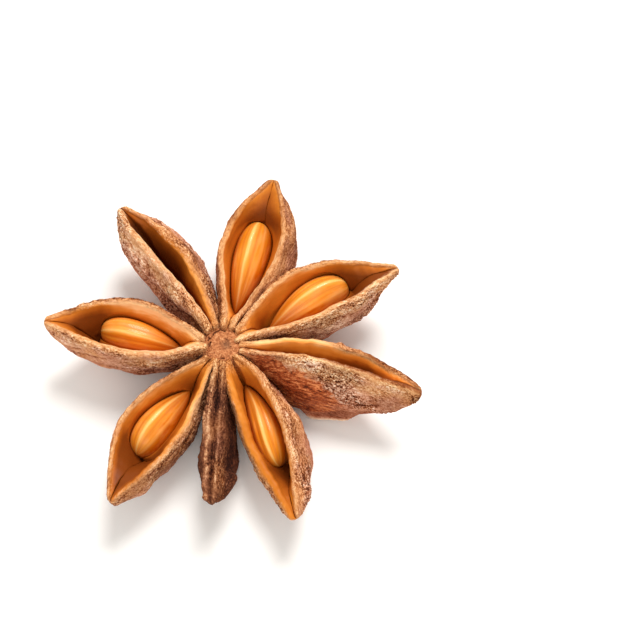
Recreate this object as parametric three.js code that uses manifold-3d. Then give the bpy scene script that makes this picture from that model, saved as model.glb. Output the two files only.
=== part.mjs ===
// A star anise pod lying on its back with its seeds showing.
//
// Eight boat-shaped carpels grow like spokes from a short central column. Each one is a woody
// shell that has split along its upper seam: a keel below, two walls, a rounded lip on each wall
// and a seed chamber between them. The column and the carpels are one piece of dried fruit, so
// they are joined into one solid. The five seeds that show lie loose in their chambers, and each
// is a solid of its own. The pod rests on the keels of its carpels.
//
// Millimetres and degrees. +Z is up, the floor is z = 0, and the origin is under the middle of
// the pod's footprint.

import * as THREE from 'three';
import { mergeVertices } from 'three/addons/utils/BufferGeometryUtils.js';
import Module from 'manifold-3d';

const wasm = await Module();
wasm.setup();

// ---------------------------------------------------------------- the whole pod
const RIM_HEIGHT = 7.0; // the lips at the column, above the floor
const AXIS_X = -0.98; // the column stands off the middle of the footprint
const AXIS_Y = 0.2;

// ---------------------------------------------------------------- what all carpels share
const INNER_END = 1.45; // where a carpel starts, from the column's axis
const SEAM = 0.05; // half the width of the seam where it stays shut
const WALL = 0.3; // thinnest wall, at the tip
const COLLAR_FALL = 8; // how quickly the lips' collar thins away from the column
const TIP_DEPTH = 0.8; // keel below lip at the tip
const HEEL = 0.7; // share of the full depth that is left at the column
const DEEPEST = 0.4; // where along its length a carpel is deepest
const FLOOR = 1.2; // shell under the seed chamber
const GROOVE = 0.25; // depth of the seam's groove outside the chamber
const SHALLOW = 0.12; // share of the chamber's depth that the groove keeps towards the tip
const CHAMBER_START = [0.04, 0.2]; // where the chamber starts, and where it is in full
const SLOT_END = 0.26; // where a slot between the lips beside the column ends
const MOUTH_SHARPNESS = 2.9; // how quickly the mouth narrows to both ends
const THICKER_AT_ENDS = 0.5; // the wall's further gain in thickness outside the seed chamber
const ROLL_PIVOT = 0.35; // its pivot below the lips, as a share of the depth

// ---------------------------------------------------------------- the carpels, one by one
// bearing   direction of the tip, anticlockwise from +X
// reach     tip from the column's axis
// depth     lip to keel
// mouth     half of the opening's greatest width, and widest: where along the length that is
// belly     how far a wall swells beyond a plain curve
// lip       how much thicker than WALL the lip is at mid-length, and collar: at the column
// slot      how far the seam gapes beside the column
// thicker   gain in thickness below the lip, of the wall at the greater and at the lesser bearing
// chamberEnd where the seed chamber ends, and up to where it is in full
// lipRound  height of the lip's crest over half its width
// blunt     how slowly the keel rises to the tip: less is blunter
// lift      tilt of the whole carpel, tip up
// roll      keel swung sideways, towards a greater bearing, in full from fullRoll on
// bend, bow sideways swerve of the tip, and of mid-length
// beak, sag upward hook of the tip, and dip of the lips at mid-length
// seed      where its ends lie along the carpel, its width and height, its middle below the
//           lips, its offset from the carpel's middle plane, and its turn
const USUAL = {
  collar: 0.35, slot: 0, thicker: [1, 1], chamberEnd: [0.98, 0.62], lipRound: 0.8, fullRoll: 0.6,
};
const CARPELS = {
  west: {
    bearing: 177, reach: 17.2, depth: 7.1, mouth: 2.35, widest: 0.48, belly: 0.3, lip: 0.5,
    blunt: 0.7, lift: 2, roll: 4, bend: -1.1, bow: -0.8, beak: 0.2, sag: 0.2,
    seed: { from: 0.15, to: 0.67, width: 3.3, height: 4.6, below: 2.9, aside: -0.35, turn: -5 },
  },
  northwest: {
    bearing: 120, reach: 17.5, depth: 7.1, mouth: 0.85, widest: 0.62, belly: 1.8, lip: 0.5,
    thicker: [0.2, 2.4], blunt: 0.7, lift: 3, roll: -3, bend: 1.8, bow: -0.6, beak: 0.3,
    sag: 0.2,
  },
  north: {
    bearing: 72.5, reach: 17.9, depth: 7.2, mouth: 2.5, widest: 0.58, belly: 1.3, lip: 0.4,
    chamberEnd: [0.88, 0.62], blunt: 0.7, lift: 2.5, roll: -6, bend: 0.4, bow: 0.2, beak: 0.8,
    sag: 0.3,
    seed: { from: 0.18, to: 0.78, width: 3.5, height: 4.8, below: 2.8, aside: 0.4, turn: 2 },
  },
  northeast: {
    bearing: 28.5, reach: 18.7, depth: 7.2, mouth: 2.35, widest: 0.5, belly: 0.7, lip: 0.4,
    chamberEnd: [0.92, 0.6], blunt: 0.95, lift: 1.5, roll: -4, bend: -1.3, bow: 0.9, beak: 0.2,
    sag: 0.2,
    seed: { from: 0.19, to: 0.73, width: 3.8, height: 4.8, below: 2.7, aside: 0.15, turn: 8 },
  },
  east: {
    bearing: -13, reach: 19.7, depth: 7.5, mouth: 0.95, widest: 0.58, belly: 0.6, lip: 0.35,
    blunt: 0.9, lift: 1, roll: -28, fullRoll: 0.4, bend: -1, bow: 0.3, beak: 0.2, sag: -0.1,
  },
  southeast: {
    bearing: -60.5, reach: 18.7, depth: 6.3, mouth: 1.4, widest: 0.44, belly: 1, lip: 0.7,
    collar: 0.3, slot: 0.22, blunt: 0.7, lift: -5, roll: 21, bend: -1.7, bow: 0.6, beak: 1.7,
    sag: 0.1,
    seed: { from: 0.14, to: 0.65, width: 3, height: 4.6, below: 2.7, aside: -0.3, turn: -5 },
  },
  south: {
    bearing: -96.5, reach: 16.2, depth: 6.5, mouth: 0, widest: 0.54, belly: 1, lip: 0.6,
    collar: 0.05, lipRound: 0.1, blunt: 0.7, lift: 0.5, roll: 8, bend: 1.3, bow: 0.3,
    beak: 0.5, sag: 0.3,
  },
  southwest: {
    bearing: -122.5, reach: 18.7, depth: 6.7, mouth: 2.4, widest: 0.52, belly: 0.35, lip: 0.3,
    collar: 0.3, chamberEnd: [0.88, 0.58], blunt: 0.7, lift: 0, roll: 4, bend: 0.1, bow: -0.9,
    beak: -0.1, sag: 0.4,
    seed: { from: 0.19, to: 0.66, width: 3.5, height: 4.8, below: 2.9, aside: -0.45, turn: -3 },
  },
};

// ---------------------------------------------------------------- the column and the seats
// The column's outline from its top to its underside, as [radius, height]. The top is a rough
// disc, the collar below it fills the corners between the carpels, and the stub below is what is
// left of the stalk.
const COLUMN = [
  [0, 6.82], [0.45, 6.9], [1.1, 6.95], [1.65, 6.8], [1.95, 6.45], [2.4, 5.6], [3.0, 4.2],
  [2.8, 2.8], [1.6, 1.9], [1.1, 1.6], [1.0, 0.95], [0.6, 0.85], [0, 0.9],
];
const SEED_POINT = 0.8; // how pointed a seed is at its inner end
const SEED_ROUND = 0.42; // how round it is at its outer end

// A wall is drawn sideways towards its seed and kept clear of it, which gives the seat. Beside a
// seed, heights run from -1 at its underside to 1 at its top, and lengths from 0 at its inner end
// to 1 at its outer end. Each pair below is where something starts and where it is in full.
const SEAT = {
  gap: 0.3, // clearance round a seed, in millimetres
  shell: 0.35, // least wall left behind it
  pastInner: 0.03, // how far the seat runs on beyond the seed's ends
  pastOuter: 0.1,
  lean: 0.35, // the height up to which the seat leans over with the seed, to stand straight above
  top: [1.3, 0.7],
  underside: [-1.15, -0.95],
  swell: [0, 0.3],
};
const HUG = {
  share: 0.85, // how much of the way to the seed a wall is drawn
  top: [1.1, 0.1],
  underside: [-1.3, -1],
  inner: [0.05, 0.3],
  outer: [1.1, 0.85],
};

// ---------------------------------------------------------------- fineness
const STATIONS = 17; // steps along a carpel
const OUTER_STEPS = 6; // steps from keel to lip on the outside
const INNER_STEPS = 6; // steps from lip to floor on the inside
const SEED_RINGS = 9;
const SEED_SIDES = 14;
const COLUMN_SIDES = 28;

const HUSK = { color: 0xa8714a, roughness: 0.85, metalness: 0 };
const SEED = { color: 0xd98a35, roughness: 0.25, metalness: 0 };

// A hump over 0..1 that is 0 at both ends and 1 at a / (a + b).
function hump(t, a, b) {
  const peak = a / (a + b);
  return (t ** a * (1 - t) ** b) / (peak ** a * (1 - peak) ** b);
}

// How far a value has gone from start to full, eased at both ends.
function ease([start, full], value) {
  return start < full
    ? THREE.MathUtils.smoothstep(value, start, full)
    : 1 - THREE.MathUtils.smoothstep(value, full, start);
}

// The carpel's measures at s, from 0 at the column to 1 at the tip.
function station(carpel, s) {
  const opening = carpel.mouth * hump(
    s, MOUTH_SHARPNESS * carpel.widest, MOUTH_SHARPNESS * (1 - carpel.widest));
  const seam = SEAM + carpel.slot * hump(Math.min(s / SLOT_END, 1), 1, 1);
  const wall = WALL + carpel.collar * (1 - s) ** COLLAR_FALL + carpel.lip * hump(s, 0.7, 0.6);
  const beforeDeepest = Math.max((DEEPEST - s) / DEEPEST, 0);
  const afterDeepest = Math.max((s - DEEPEST) / (1 - DEEPEST), 0);
  const fullness = s < DEEPEST
    ? 1 - (1 - HEEL) * beforeDeepest ** 2
    : (1 - afterDeepest ** 2) ** carpel.blunt;
  return {
    seam, // half the width of the seam
    half: seam + opening, // centre plane to the inside of the lip
    wall,
    thicker: carpel.thicker,
    crest: carpel.lipRound * wall / 2,
    belly: carpel.belly * hump(s, 1.1, 0.75),
    keel: TIP_DEPTH + (carpel.depth - TIP_DEPTH) * fullness,
    lipLine: carpel.beak * s ** 5 - carpel.sag * Math.sin(Math.PI * s),
    chamber: ease(CHAMBER_START, s) * ease(carpel.chamberEnd, s),
  };
}

// Outside of a wall, [sideways, up], for q from 0 at the lip to 1 at the keel.
function outerWall(at, q) {
  const half = at.half + at.wall;
  const turn = Math.PI * q / 2;
  const side = half * Math.cos(turn) ** 1.15 + at.belly * Math.sin(2 * turn) ** 0.9;
  return [side, at.lipLine - at.keel * Math.sin(turn)];
}

// How far out the outside of a wall is at a given height.
function outsideAt(at, up) {
  const share = THREE.MathUtils.clamp((at.lipLine - up) / at.keel, 0, 1);
  return outerWall(at, Math.asin(share) * 2 / Math.PI)[0];
}

// Inside of a wall, for q from 0 at the lip to 1 at the chamber's floor. Side is 1 for the wall
// at the greater bearing and -1 for the other.
function innerWall(at, q, side) {
  const turn = Math.PI * q / 2;
  const gain = side > 0 ? at.thicker[0] : at.thicker[1];
  const thicker = (gain + THICKER_AT_ENDS * (1 - at.chamber))
    * Math.sin(Math.PI * Math.min(q, 0.5));
  const half = at.half + at.wall;
  const plain = half * Math.cos(turn) ** 0.9 + at.belly * Math.sin(2 * turn) ** 0.9;
  const away = Math.max(plain - at.wall - thicker, at.seam * Math.cos(turn));
  const hollow = Math.max(at.keel - FLOOR - GROOVE, 0.2);
  const depth = GROOVE + hollow * (SHALLOW + (1 - SHALLOW) * at.chamber);
  return [away, at.lipLine - depth * Math.sin(turn)];
}

// Where a seed's middle is, for u from 0 at its inner end to 1 at its outer end.
function seedMiddle(carpel, u) {
  const { seed } = carpel;
  const s = seed.from + (seed.to - seed.from) * u;
  const length = (carpel.reach - INNER_END) * (seed.to - seed.from);
  const slope = Math.tan(THREE.MathUtils.degToRad(seed.turn));
  const aside = seed.aside + slope * length * (THREE.MathUtils.clamp(u, 0, 1) - 0.5);
  return { s, aside, up: station(carpel, s).lipLine - seed.below };
}

// A point of the inside of a wall, [away, up], moved sideways where a seed lies beside it.
function besideSeed(carpel, s, side, [away, up]) {
  const { seed } = carpel;
  if (!seed) {
    return [away, up];
  }
  const u = (s - seed.from) / (seed.to - seed.from);
  const alongSeat = (u + SEAT.pastInner) / (1 + SEAT.pastInner + SEAT.pastOuter);
  if (alongSeat <= 0 || alongSeat >= 1) {
    return [away, up];
  }
  const swell = hump(alongSeat, SEED_POINT, SEED_ROUND);
  const middle = seedMiddle(carpel, u);
  const height = (up - middle.up) / (seed.height / 2 * swell + SEAT.gap);
  if (height < SEAT.underside[0]) {
    return [away, up];
  }
  const round = Math.sqrt(1 - THREE.MathUtils.clamp(height, -1, SEAT.lean) ** 2);
  const width = (seed.width / 2 * swell + SEAT.gap) * round * ease(SEAT.top, height);
  const aside = side * middle.aside * ease(SEAT.underside, height);
  const seat = Math.min(
    ease(SEAT.swell, swell) * (aside + width), outsideAt(station(carpel, s), up) - SEAT.shell);
  const hug = HUG.share * ease(HUG.inner, u) * ease(HUG.outer, u)
    * ease(HUG.top, height) * ease(HUG.underside, height);
  return [Math.max(away + (Math.min(seat, away) - away) * hug, seat), up];
}

// The closed outline of a carpel cut across at s: up one wall, over its lip, down to the floor,
// and back over the other wall.
function crossSection(carpel, s) {
  const at = station(carpel, s);
  const outside = [];
  for (let i = OUTER_STEPS - 1; i >= 0; i -= 1) {
    outside.push(outerWall(at, i / OUTER_STEPS));
  }
  const crest = [at.half + at.wall / 2, at.lipLine + at.crest];
  const wall = (side) => {
    const inside = [];
    for (let i = 0; i < INNER_STEPS; i += 1) {
      inside.push(besideSeed(carpel, s, side, innerWall(at, i / INNER_STEPS, side)));
    }
    return [...outside, crest, ...inside].map(([away, up]) => [side * away, up]);
  };
  const keel = [0, at.lipLine - at.keel];
  const floor = [0, innerWall(at, 1, 1)[1]];
  return [keel, ...wall(1), floor, ...wall(-1).reverse()];
}

// A point of a carpel, given along, sideways and up from the lip line, at its place in the pod:
// rolled about its own length, swerved, lifted and turned to its bearing.
function place(carpel, s, sideways, up) {
  const { degToRad } = THREE.MathUtils;
  const pivot = -ROLL_PIVOT * station(carpel, s).keel;
  const roll = degToRad(carpel.roll) * ease([0, carpel.fullRoll], s);
  const rolled = new THREE.Vector2(sideways, up - pivot).rotateAround(new THREE.Vector2(), roll);
  const swerve = carpel.bend * s ** 2 + carpel.bow * Math.sin(Math.PI * s);
  const along = INNER_END + (carpel.reach - INNER_END) * s;
  return new THREE.Vector3(along, rolled.x + swerve, rolled.y + pivot)
    .applyAxisAngle(new THREE.Vector3(0, 1, 0), -degToRad(carpel.lift))
    .applyAxisAngle(new THREE.Vector3(0, 0, 1), degToRad(carpel.bearing))
    .add(new THREE.Vector3(AXIS_X, AXIS_Y, RIM_HEIGHT));
}

// Points and triangles as one geometry.
function geometryFrom(points, triangles) {
  const geometry = new THREE.BufferGeometry().setFromPoints(points);
  geometry.setIndex(triangles);
  return geometry;
}

// Two triangles for each step along and round a stack of closed rings of equal size.
function skin(rings, size, firstPoint = 0) {
  const triangles = [];
  for (let i = 0; i < rings - 1; i += 1) {
    for (let j = 0; j < size; j += 1) {
      const a = firstPoint + i * size + j;
      const b = firstPoint + i * size + (j + 1) % size;
      triangles.push(a, b, a + size, b, b + size, a + size);
    }
  }
  return triangles;
}

// One carpel as a closed shell: cross-sections in a row, closer together towards the ends.
function carpelGeometry(carpel) {
  const points = [];
  const sections = [];
  for (let i = 0; i <= STATIONS; i += 1) {
    const s = (1 - Math.cos(Math.PI * i / STATIONS)) / 2;
    const section = crossSection(carpel, s);
    sections.push(section);
    points.push(...section.map(([y, z]) => place(carpel, s, y, z)));
  }
  const size = sections[0].length;
  const cap = (section) => THREE.ShapeUtils.triangulateShape(
    section.map(([y, z]) => new THREE.Vector2(y, z)), []);
  const last = STATIONS * size;
  const innerCap = cap(sections[0]).flatMap(([a, b, c]) => [a, c, b]);
  const tipCap = cap(sections[STATIONS]).flatMap(([a, b, c]) => [last + a, last + b, last + c]);
  return geometryFrom(points, [...skin(STATIONS + 1, size), ...innerCap, ...tipCap]);
}

// One seed: a drop that is pointed at its inner end and round at its outer end. grow makes it
// larger all round, for the seat that it lies in.
function seedGeometry(carpel, grow = 0) {
  const { seed } = carpel;
  const length = (carpel.reach - INNER_END) * (seed.to - seed.from);
  const longer = grow / length;
  const point = (u, sideways, up) => {
    const middle = seedMiddle(carpel, -longer + (1 + 2 * longer) * u);
    return place(carpel, middle.s, middle.aside + sideways, middle.up + up);
  };
  const points = [point(0, 0, 0), point(1, 0, 0)];
  for (let i = 1; i < SEED_RINGS; i += 1) {
    const u = (1 - Math.cos(Math.PI * i / SEED_RINGS)) / 2;
    const swell = hump(u, SEED_POINT, SEED_ROUND);
    for (let j = 0; j < SEED_SIDES; j += 1) {
      const turn = 2 * Math.PI * j / SEED_SIDES;
      const sideways = (seed.width / 2 + grow) * swell * Math.cos(turn);
      const up = (seed.height / 2 + grow) * swell * Math.sin(turn);
      points.push(point(u, sideways, up));
    }
  }
  const first = 2;
  const last = first + (SEED_RINGS - 2) * SEED_SIDES;
  const triangles = skin(SEED_RINGS - 1, SEED_SIDES, first);
  for (let j = 0; j < SEED_SIDES; j += 1) {
    const next = (j + 1) % SEED_SIDES;
    triangles.push(0, first + next, first + j, 1, last + j, last + next);
  }
  return geometryFrom(points, triangles);
}

// The column with its collar and the stub of the stalk, turned about its own axis.
function columnGeometry() {
  const outline = COLUMN.map(([radius, height]) => new THREE.Vector2(radius, height)).reverse();
  const geometry = new THREE.LatheGeometry(outline, COLUMN_SIDES);
  geometry.rotateX(Math.PI / 2);
  geometry.translate(AXIS_X, AXIS_Y, 0);
  return geometry;
}

// Everything below the floor, as far out as the pod reaches.
function groundGeometry() {
  const thickness = 4;
  const ground = new THREE.BoxGeometry(60, 60, thickness);
  ground.translate(0, 0, -thickness / 2);
  return ground;
}

// A closed geometry as a solid that can be joined and cut.
function solidFrom(geometry) {
  const bare = geometry.clone();
  bare.deleteAttribute('normal');
  bare.deleteAttribute('uv');
  const merged = mergeVertices(bare, 1e-5);
  const index = merged.index.array;
  const triVerts = [];
  for (let i = 0; i < index.length; i += 3) {
    const [a, b, c] = [index[i], index[i + 1], index[i + 2]];
    if (a !== b && b !== c && c !== a) {
      triVerts.push(a, b, c);
    }
  }
  return new wasm.Manifold(new wasm.Mesh({
    numProp: 3,
    vertProperties: new Float32Array(merged.attributes.position.array),
    triVerts: new Uint32Array(triVerts),
  }));
}

function geometryOf(solid) {
  const { vertProperties, triVerts } = solid.getMesh();
  const geometry = new THREE.BufferGeometry();
  geometry.setAttribute('position', new THREE.BufferAttribute(vertProperties, 3));
  geometry.setIndex(new THREE.BufferAttribute(triVerts, 1));
  geometry.computeVertexNormals();
  return geometry;
}

// The husk: the column and all carpels joined, seats cut for the seeds, and the keels worn flat
// where they touch the floor.
function buildHusk(carpels) {
  let husk = solidFrom(columnGeometry());
  for (const carpel of carpels) {
    husk = husk.add(solidFrom(carpelGeometry(carpel)));
  }
  for (const carpel of carpels.filter(({ seed }) => seed)) {
    husk = husk.subtract(solidFrom(seedGeometry(carpel, SEAT.gap)));
  }
  husk = husk.subtract(solidFrom(groundGeometry()));
  const mesh = new THREE.Mesh(geometryOf(husk), new THREE.MeshStandardMaterial(HUSK));
  mesh.name = 'husk';
  return mesh;
}

function buildSeed(carpel) {
  const geometry = seedGeometry(carpel);
  geometry.computeVertexNormals();
  const mesh = new THREE.Mesh(geometry, new THREE.MeshStandardMaterial(SEED));
  mesh.name = `seed_${carpel.name}`;
  return mesh;
}

const carpels = Object.entries(CARPELS).map(([name, own]) => ({ name, ...USUAL, ...own }));
const pod = new THREE.Group();
pod.add(buildHusk(carpels));
for (const carpel of carpels.filter(({ seed }) => seed)) {
  pod.add(buildSeed(carpel));
}

export default pod;
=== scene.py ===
"""The looks of a dried star anise pod: wrinkled carpels round a column, and the seeds in them."""

import bpy
import numpy as np
from mathutils import Matrix, Vector


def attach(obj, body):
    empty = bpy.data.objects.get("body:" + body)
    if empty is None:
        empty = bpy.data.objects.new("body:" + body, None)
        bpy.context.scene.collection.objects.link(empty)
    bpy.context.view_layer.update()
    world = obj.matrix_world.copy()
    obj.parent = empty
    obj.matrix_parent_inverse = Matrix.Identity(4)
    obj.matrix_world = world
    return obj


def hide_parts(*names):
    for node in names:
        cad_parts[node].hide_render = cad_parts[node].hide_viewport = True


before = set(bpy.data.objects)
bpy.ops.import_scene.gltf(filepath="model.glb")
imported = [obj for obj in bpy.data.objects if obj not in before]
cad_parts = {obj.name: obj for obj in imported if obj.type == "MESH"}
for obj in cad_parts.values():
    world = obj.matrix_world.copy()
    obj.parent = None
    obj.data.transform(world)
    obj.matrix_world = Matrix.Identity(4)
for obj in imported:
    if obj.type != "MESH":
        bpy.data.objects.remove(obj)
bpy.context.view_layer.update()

# ============================================================================ carpels: form
# Eight boat-shaped fruits of dried, woody flesh, grown like spokes from a short column. Each
# has split along its upper seam into two lips, with a keel below and a seed chamber between.
# The sizes are millimetres and degrees, as the solid husk has them.
RIM_HEIGHT = 7.0
AXIS = np.array([-0.98, 0.2, 0.0])
INNER_END = 1.45
SEAM = 0.05
SLOT_END = 0.26
MOUTH_SHARPNESS = 2.9
WALL = 0.3
COLLAR_FALL = 8
LIP_SWELL = (0.7, 0.6)
LIP_ROUND = 0.8
BELLY_SWELL = (1.1, 0.75)
BELLY_CURVE = 0.9
OUTER_CURVE = 1.15
INNER_CURVE = 0.9
THICKER_BELOW = (1.0, 1.0)
THICKER_AT_ENDS = 0.5
TIP_DEPTH = 0.8
HEEL = 0.7
DEEPEST = 0.4
GROOVE = 0.25
SHALLOW = 0.12
LEAST_HOLLOW = 0.2
CHAMBER_FLOOR = 1.2
CHAMBER_START = (0.04, 0.2)
CHAMBER_END = (0.62, 0.98)
BEAK_CURVE = 5
ROLL_PIVOT = 0.35
FULL_ROLL = 0.6

# For each carpel: its bearing, reach and depth, its mouth and where that is widest, how far its
# flanks bulge, how thick its wall is at the lip and at the column, and how blunt its tip is. It
# is lifted and rolled, it bends and bows aside, its beak rises at the tip and its lips sag. Some
# have their own thickness below each lip, slot in the seam, end of the chamber, roundness of the
# lip, or place where the roll is complete.
CARPELS = {
    "west": dict(
        bearing=177, reach=17.2, depth=7.1, mouth=2.35, widest=0.48, belly=0.3, lip=0.5,
        collar=0.35, blunt=0.7, lift=2, roll=4, bend=-1.1, bow=-0.8, beak=0.2, sag=0.2),
    "northwest": dict(
        bearing=120, reach=17.5, depth=7.1, mouth=0.85, widest=0.62, belly=1.8, lip=0.5,
        collar=0.35, thicker=(0.2, 2.4), blunt=0.7, lift=3, roll=-3, bend=1.8, bow=-0.6, beak=0.3,
        sag=0.2),
    "north": dict(
        bearing=72.5, reach=17.9, depth=7.2, mouth=2.5, widest=0.58, belly=1.3, lip=0.4,
        collar=0.35, chamber_end=(0.62, 0.88), blunt=0.7, lift=2.5, roll=-6, bend=0.4, bow=0.2,
        beak=0.8, sag=0.3),
    "northeast": dict(
        bearing=28.5, reach=18.7, depth=7.2, mouth=2.35, widest=0.5, belly=0.7, lip=0.4,
        collar=0.35, chamber_end=(0.6, 0.92), blunt=0.95, lift=1.5, roll=-4, bend=-1.3, bow=0.9,
        beak=0.2, sag=0.2),
    "east": dict(
        bearing=-13, reach=19.7, depth=7.5, mouth=0.95, widest=0.58, belly=0.6, lip=0.35,
        collar=0.35, blunt=0.9, lift=1, roll=-28, full_roll=0.4, bend=-1, bow=0.3, beak=0.2,
        sag=-0.1),
    "southeast": dict(
        bearing=-60.5, reach=18.7, depth=6.3, mouth=1.4, widest=0.44, belly=1.0, lip=0.7,
        collar=0.3, slot=0.22, blunt=0.7, lift=-5, roll=21, bend=-1.7, bow=0.6, beak=1.7, sag=0.1),
    "south": dict(
        bearing=-96.5, reach=16.2, depth=6.5, mouth=0, widest=0.54, belly=1, lip=0.6,
        collar=0.05, lip_round=0.1, blunt=0.7, lift=0.5, roll=8, bend=1.3, bow=0.3, beak=0.5,
        sag=0.3),
    "southwest": dict(
        bearing=-122.5, reach=18.7, depth=6.7, mouth=2.4, widest=0.52, belly=0.35, lip=0.3,
        collar=0.3, chamber_end=(0.58, 0.88), blunt=0.7, lift=0, roll=4, bend=0.1, bow=-0.9,
        beak=-0.1, sag=0.4),
}

# The seeds lie in five of them: where each starts and stops along the carpel, its width and
# height, how deep below the lips and how far aside it lies, how far it is turned, and how far
# its ridge is rolled from the top.
SEEDS = {
    "west": dict(
        start=0.15, stop=0.67, width=3.3, height=4.6, below=2.9, aside=-0.35, turn=-5, rolled=24),
    "north": dict(
        start=0.18, stop=0.78, width=3.5, height=4.8, below=2.8, aside=0.4, turn=2),
    "northeast": dict(
        start=0.19, stop=0.73, width=3.8, height=4.8, below=2.7, aside=0.15, turn=8),
    "southeast": dict(
        start=0.14, stop=0.65, width=3.0, height=4.6, below=2.7, aside=-0.3, turn=-5),
    "southwest": dict(
        start=0.19, stop=0.66, width=3.5, height=4.8, below=2.9, aside=-0.45, turn=-3),
}
SEED_POINT = 0.8
SEED_ROUND = 0.42


def smooth(low, high, x):
    """0 below low, 1 above high, and an S-curve between them."""
    t = np.clip((x - low) / (high - low), 0, 1)
    return t * t * (3 - 2 * t)


def hump(t, a, b):
    """t to the power a times 1 - t to the power b, scaled to be 1 at its peak, a / (a + b)."""
    peak = a / (a + b)
    return t ** a * (1 - t) ** b / (peak ** a * (1 - peak) ** b)


def bell(x, width):
    """1 at zero and fading to nothing about two widths away."""
    return np.exp(-(x / width) ** 2)


def station(carpel, s):
    """The carpel's measures at each s, from 0 at the column to 1 at the tip."""
    widest = carpel["widest"]
    opening = carpel["mouth"] * hump(s, MOUTH_SHARPNESS * widest, MOUTH_SHARPNESS * (1 - widest))
    seam = SEAM + carpel.get("slot", 0) * hump(np.clip(s / SLOT_END, 0, 1), 1, 1)
    wall = WALL + carpel["collar"] * (1 - s) ** COLLAR_FALL + carpel["lip"] * hump(s, *LIP_SWELL)
    before = np.clip((DEEPEST - s) / DEEPEST, 0, 1)
    after = np.clip((s - DEEPEST) / (1 - DEEPEST), 0, 1)
    fullness = np.where(
        s < DEEPEST, 1 - (1 - HEEL) * before ** 2, (1 - after ** 2) ** carpel["blunt"])
    return {
        "seam": seam,
        "half": seam + opening,
        "wall": wall,
        "thicker": carpel.get("thicker", THICKER_BELOW),
        "belly": carpel["belly"] * hump(s, *BELLY_SWELL),
        "keel": TIP_DEPTH + (carpel["depth"] - TIP_DEPTH) * fullness,
        "lip_line": carpel["beak"] * s ** BEAK_CURVE - carpel["sag"] * np.sin(np.pi * s),
        "chamber": smooth(*CHAMBER_START, s)
        * (1 - smooth(*carpel.get("chamber_end", CHAMBER_END), s)),
    }


def bulge(at, turn):
    """The belly's share of the half width: a hump halfway between lip and keel, by a sine."""
    return at["belly"] * np.clip(np.sin(2 * turn), 0, 1) ** BELLY_CURVE


def outer_wall(at, q):
    """Outside of a wall, q from 0 at the lip to 1 at the keel: the half width falls with a
    cosine and the depth grows with a sine, and the belly is added as a hump between them."""
    turn = np.pi * q / 2
    side = (at["half"] + at["wall"]) * np.cos(turn) ** OUTER_CURVE + bulge(at, turn)
    return side, at["lip_line"] - at["keel"] * np.sin(turn)


def inner_wall(at, q, side):
    """Inside of a wall, q from 0 at the lip to 1 at the chamber's floor: the outside's curve
    less the wall, which thickens below the lip, and never past the seam."""
    turn = np.pi * q / 2
    thicker = at["thicker"][0 if side > 0 else 1] + THICKER_AT_ENDS * (1 - at["chamber"])
    thicker = thicker * np.sin(np.pi * np.minimum(q, 0.5))
    sideways = (at["half"] + at["wall"]) * np.clip(np.cos(turn), 0, 1) ** INNER_CURVE
    sideways = sideways + bulge(at, turn) - at["wall"] - thicker
    sideways = np.maximum(sideways, at["seam"] * np.cos(turn))
    hollow = np.maximum(at["keel"] - CHAMBER_FLOOR - GROOVE, LEAST_HOLLOW)
    depth = GROOVE + hollow * (SHALLOW + (1 - SHALLOW) * at["chamber"])
    return sideways, at["lip_line"] - depth * np.sin(turn)


def seed_oval(carpel, seed, s):
    """The seed's cross-section at each s: where its middle is, and its half width and height,
    which follow one hump from the pointed inner end to the round outer end."""
    part = seed["stop"] - seed["start"]
    u = (s - seed["start"]) / part
    swell = hump(np.clip(u, 0, 1), SEED_POINT, SEED_ROUND)
    length = (carpel["reach"] - INNER_END) * part
    aside = seed["aside"] + np.tan(np.radians(seed["turn"])) * length * (np.clip(u, 0, 1) - 0.5)
    up = station(carpel, s)["lip_line"] - seed["below"]
    return u, aside, up, seed["width"] / 2 * swell, seed["height"] / 2 * swell


# A seat is a gap wider than its seed, reaches a little past its inner end, stands straight from
# upright on, begins at the lowest height and leaves a shell outside it. HUG is how much of the
# way the wall comes in to the seed, and GLOW is where it is close enough to the seed for the
# lining there to be painted with the seed's bounced light. Each range starts or ends one of these,
# along the seed from 0 to 1, or up it from -1 to 1.
SEAT = dict(
    gap=0.05, past=0.03, upright=0.35, shell=0.35, lowest=-1.15, begins=(0, 0.3),
    bottom=(-1.15, -0.95), top=(1.3, 0.7))
HUG = dict(share=0.85, inner=(0.05, 0.3), outer=(1.15, 0.95), bottom=(-1.3, -1.0), top=(1.1, 0.1))
GLOW = dict(gap=(0.9, 0.15), outer=(1.04, 0.86), top=(1.5, 0.9))


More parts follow.
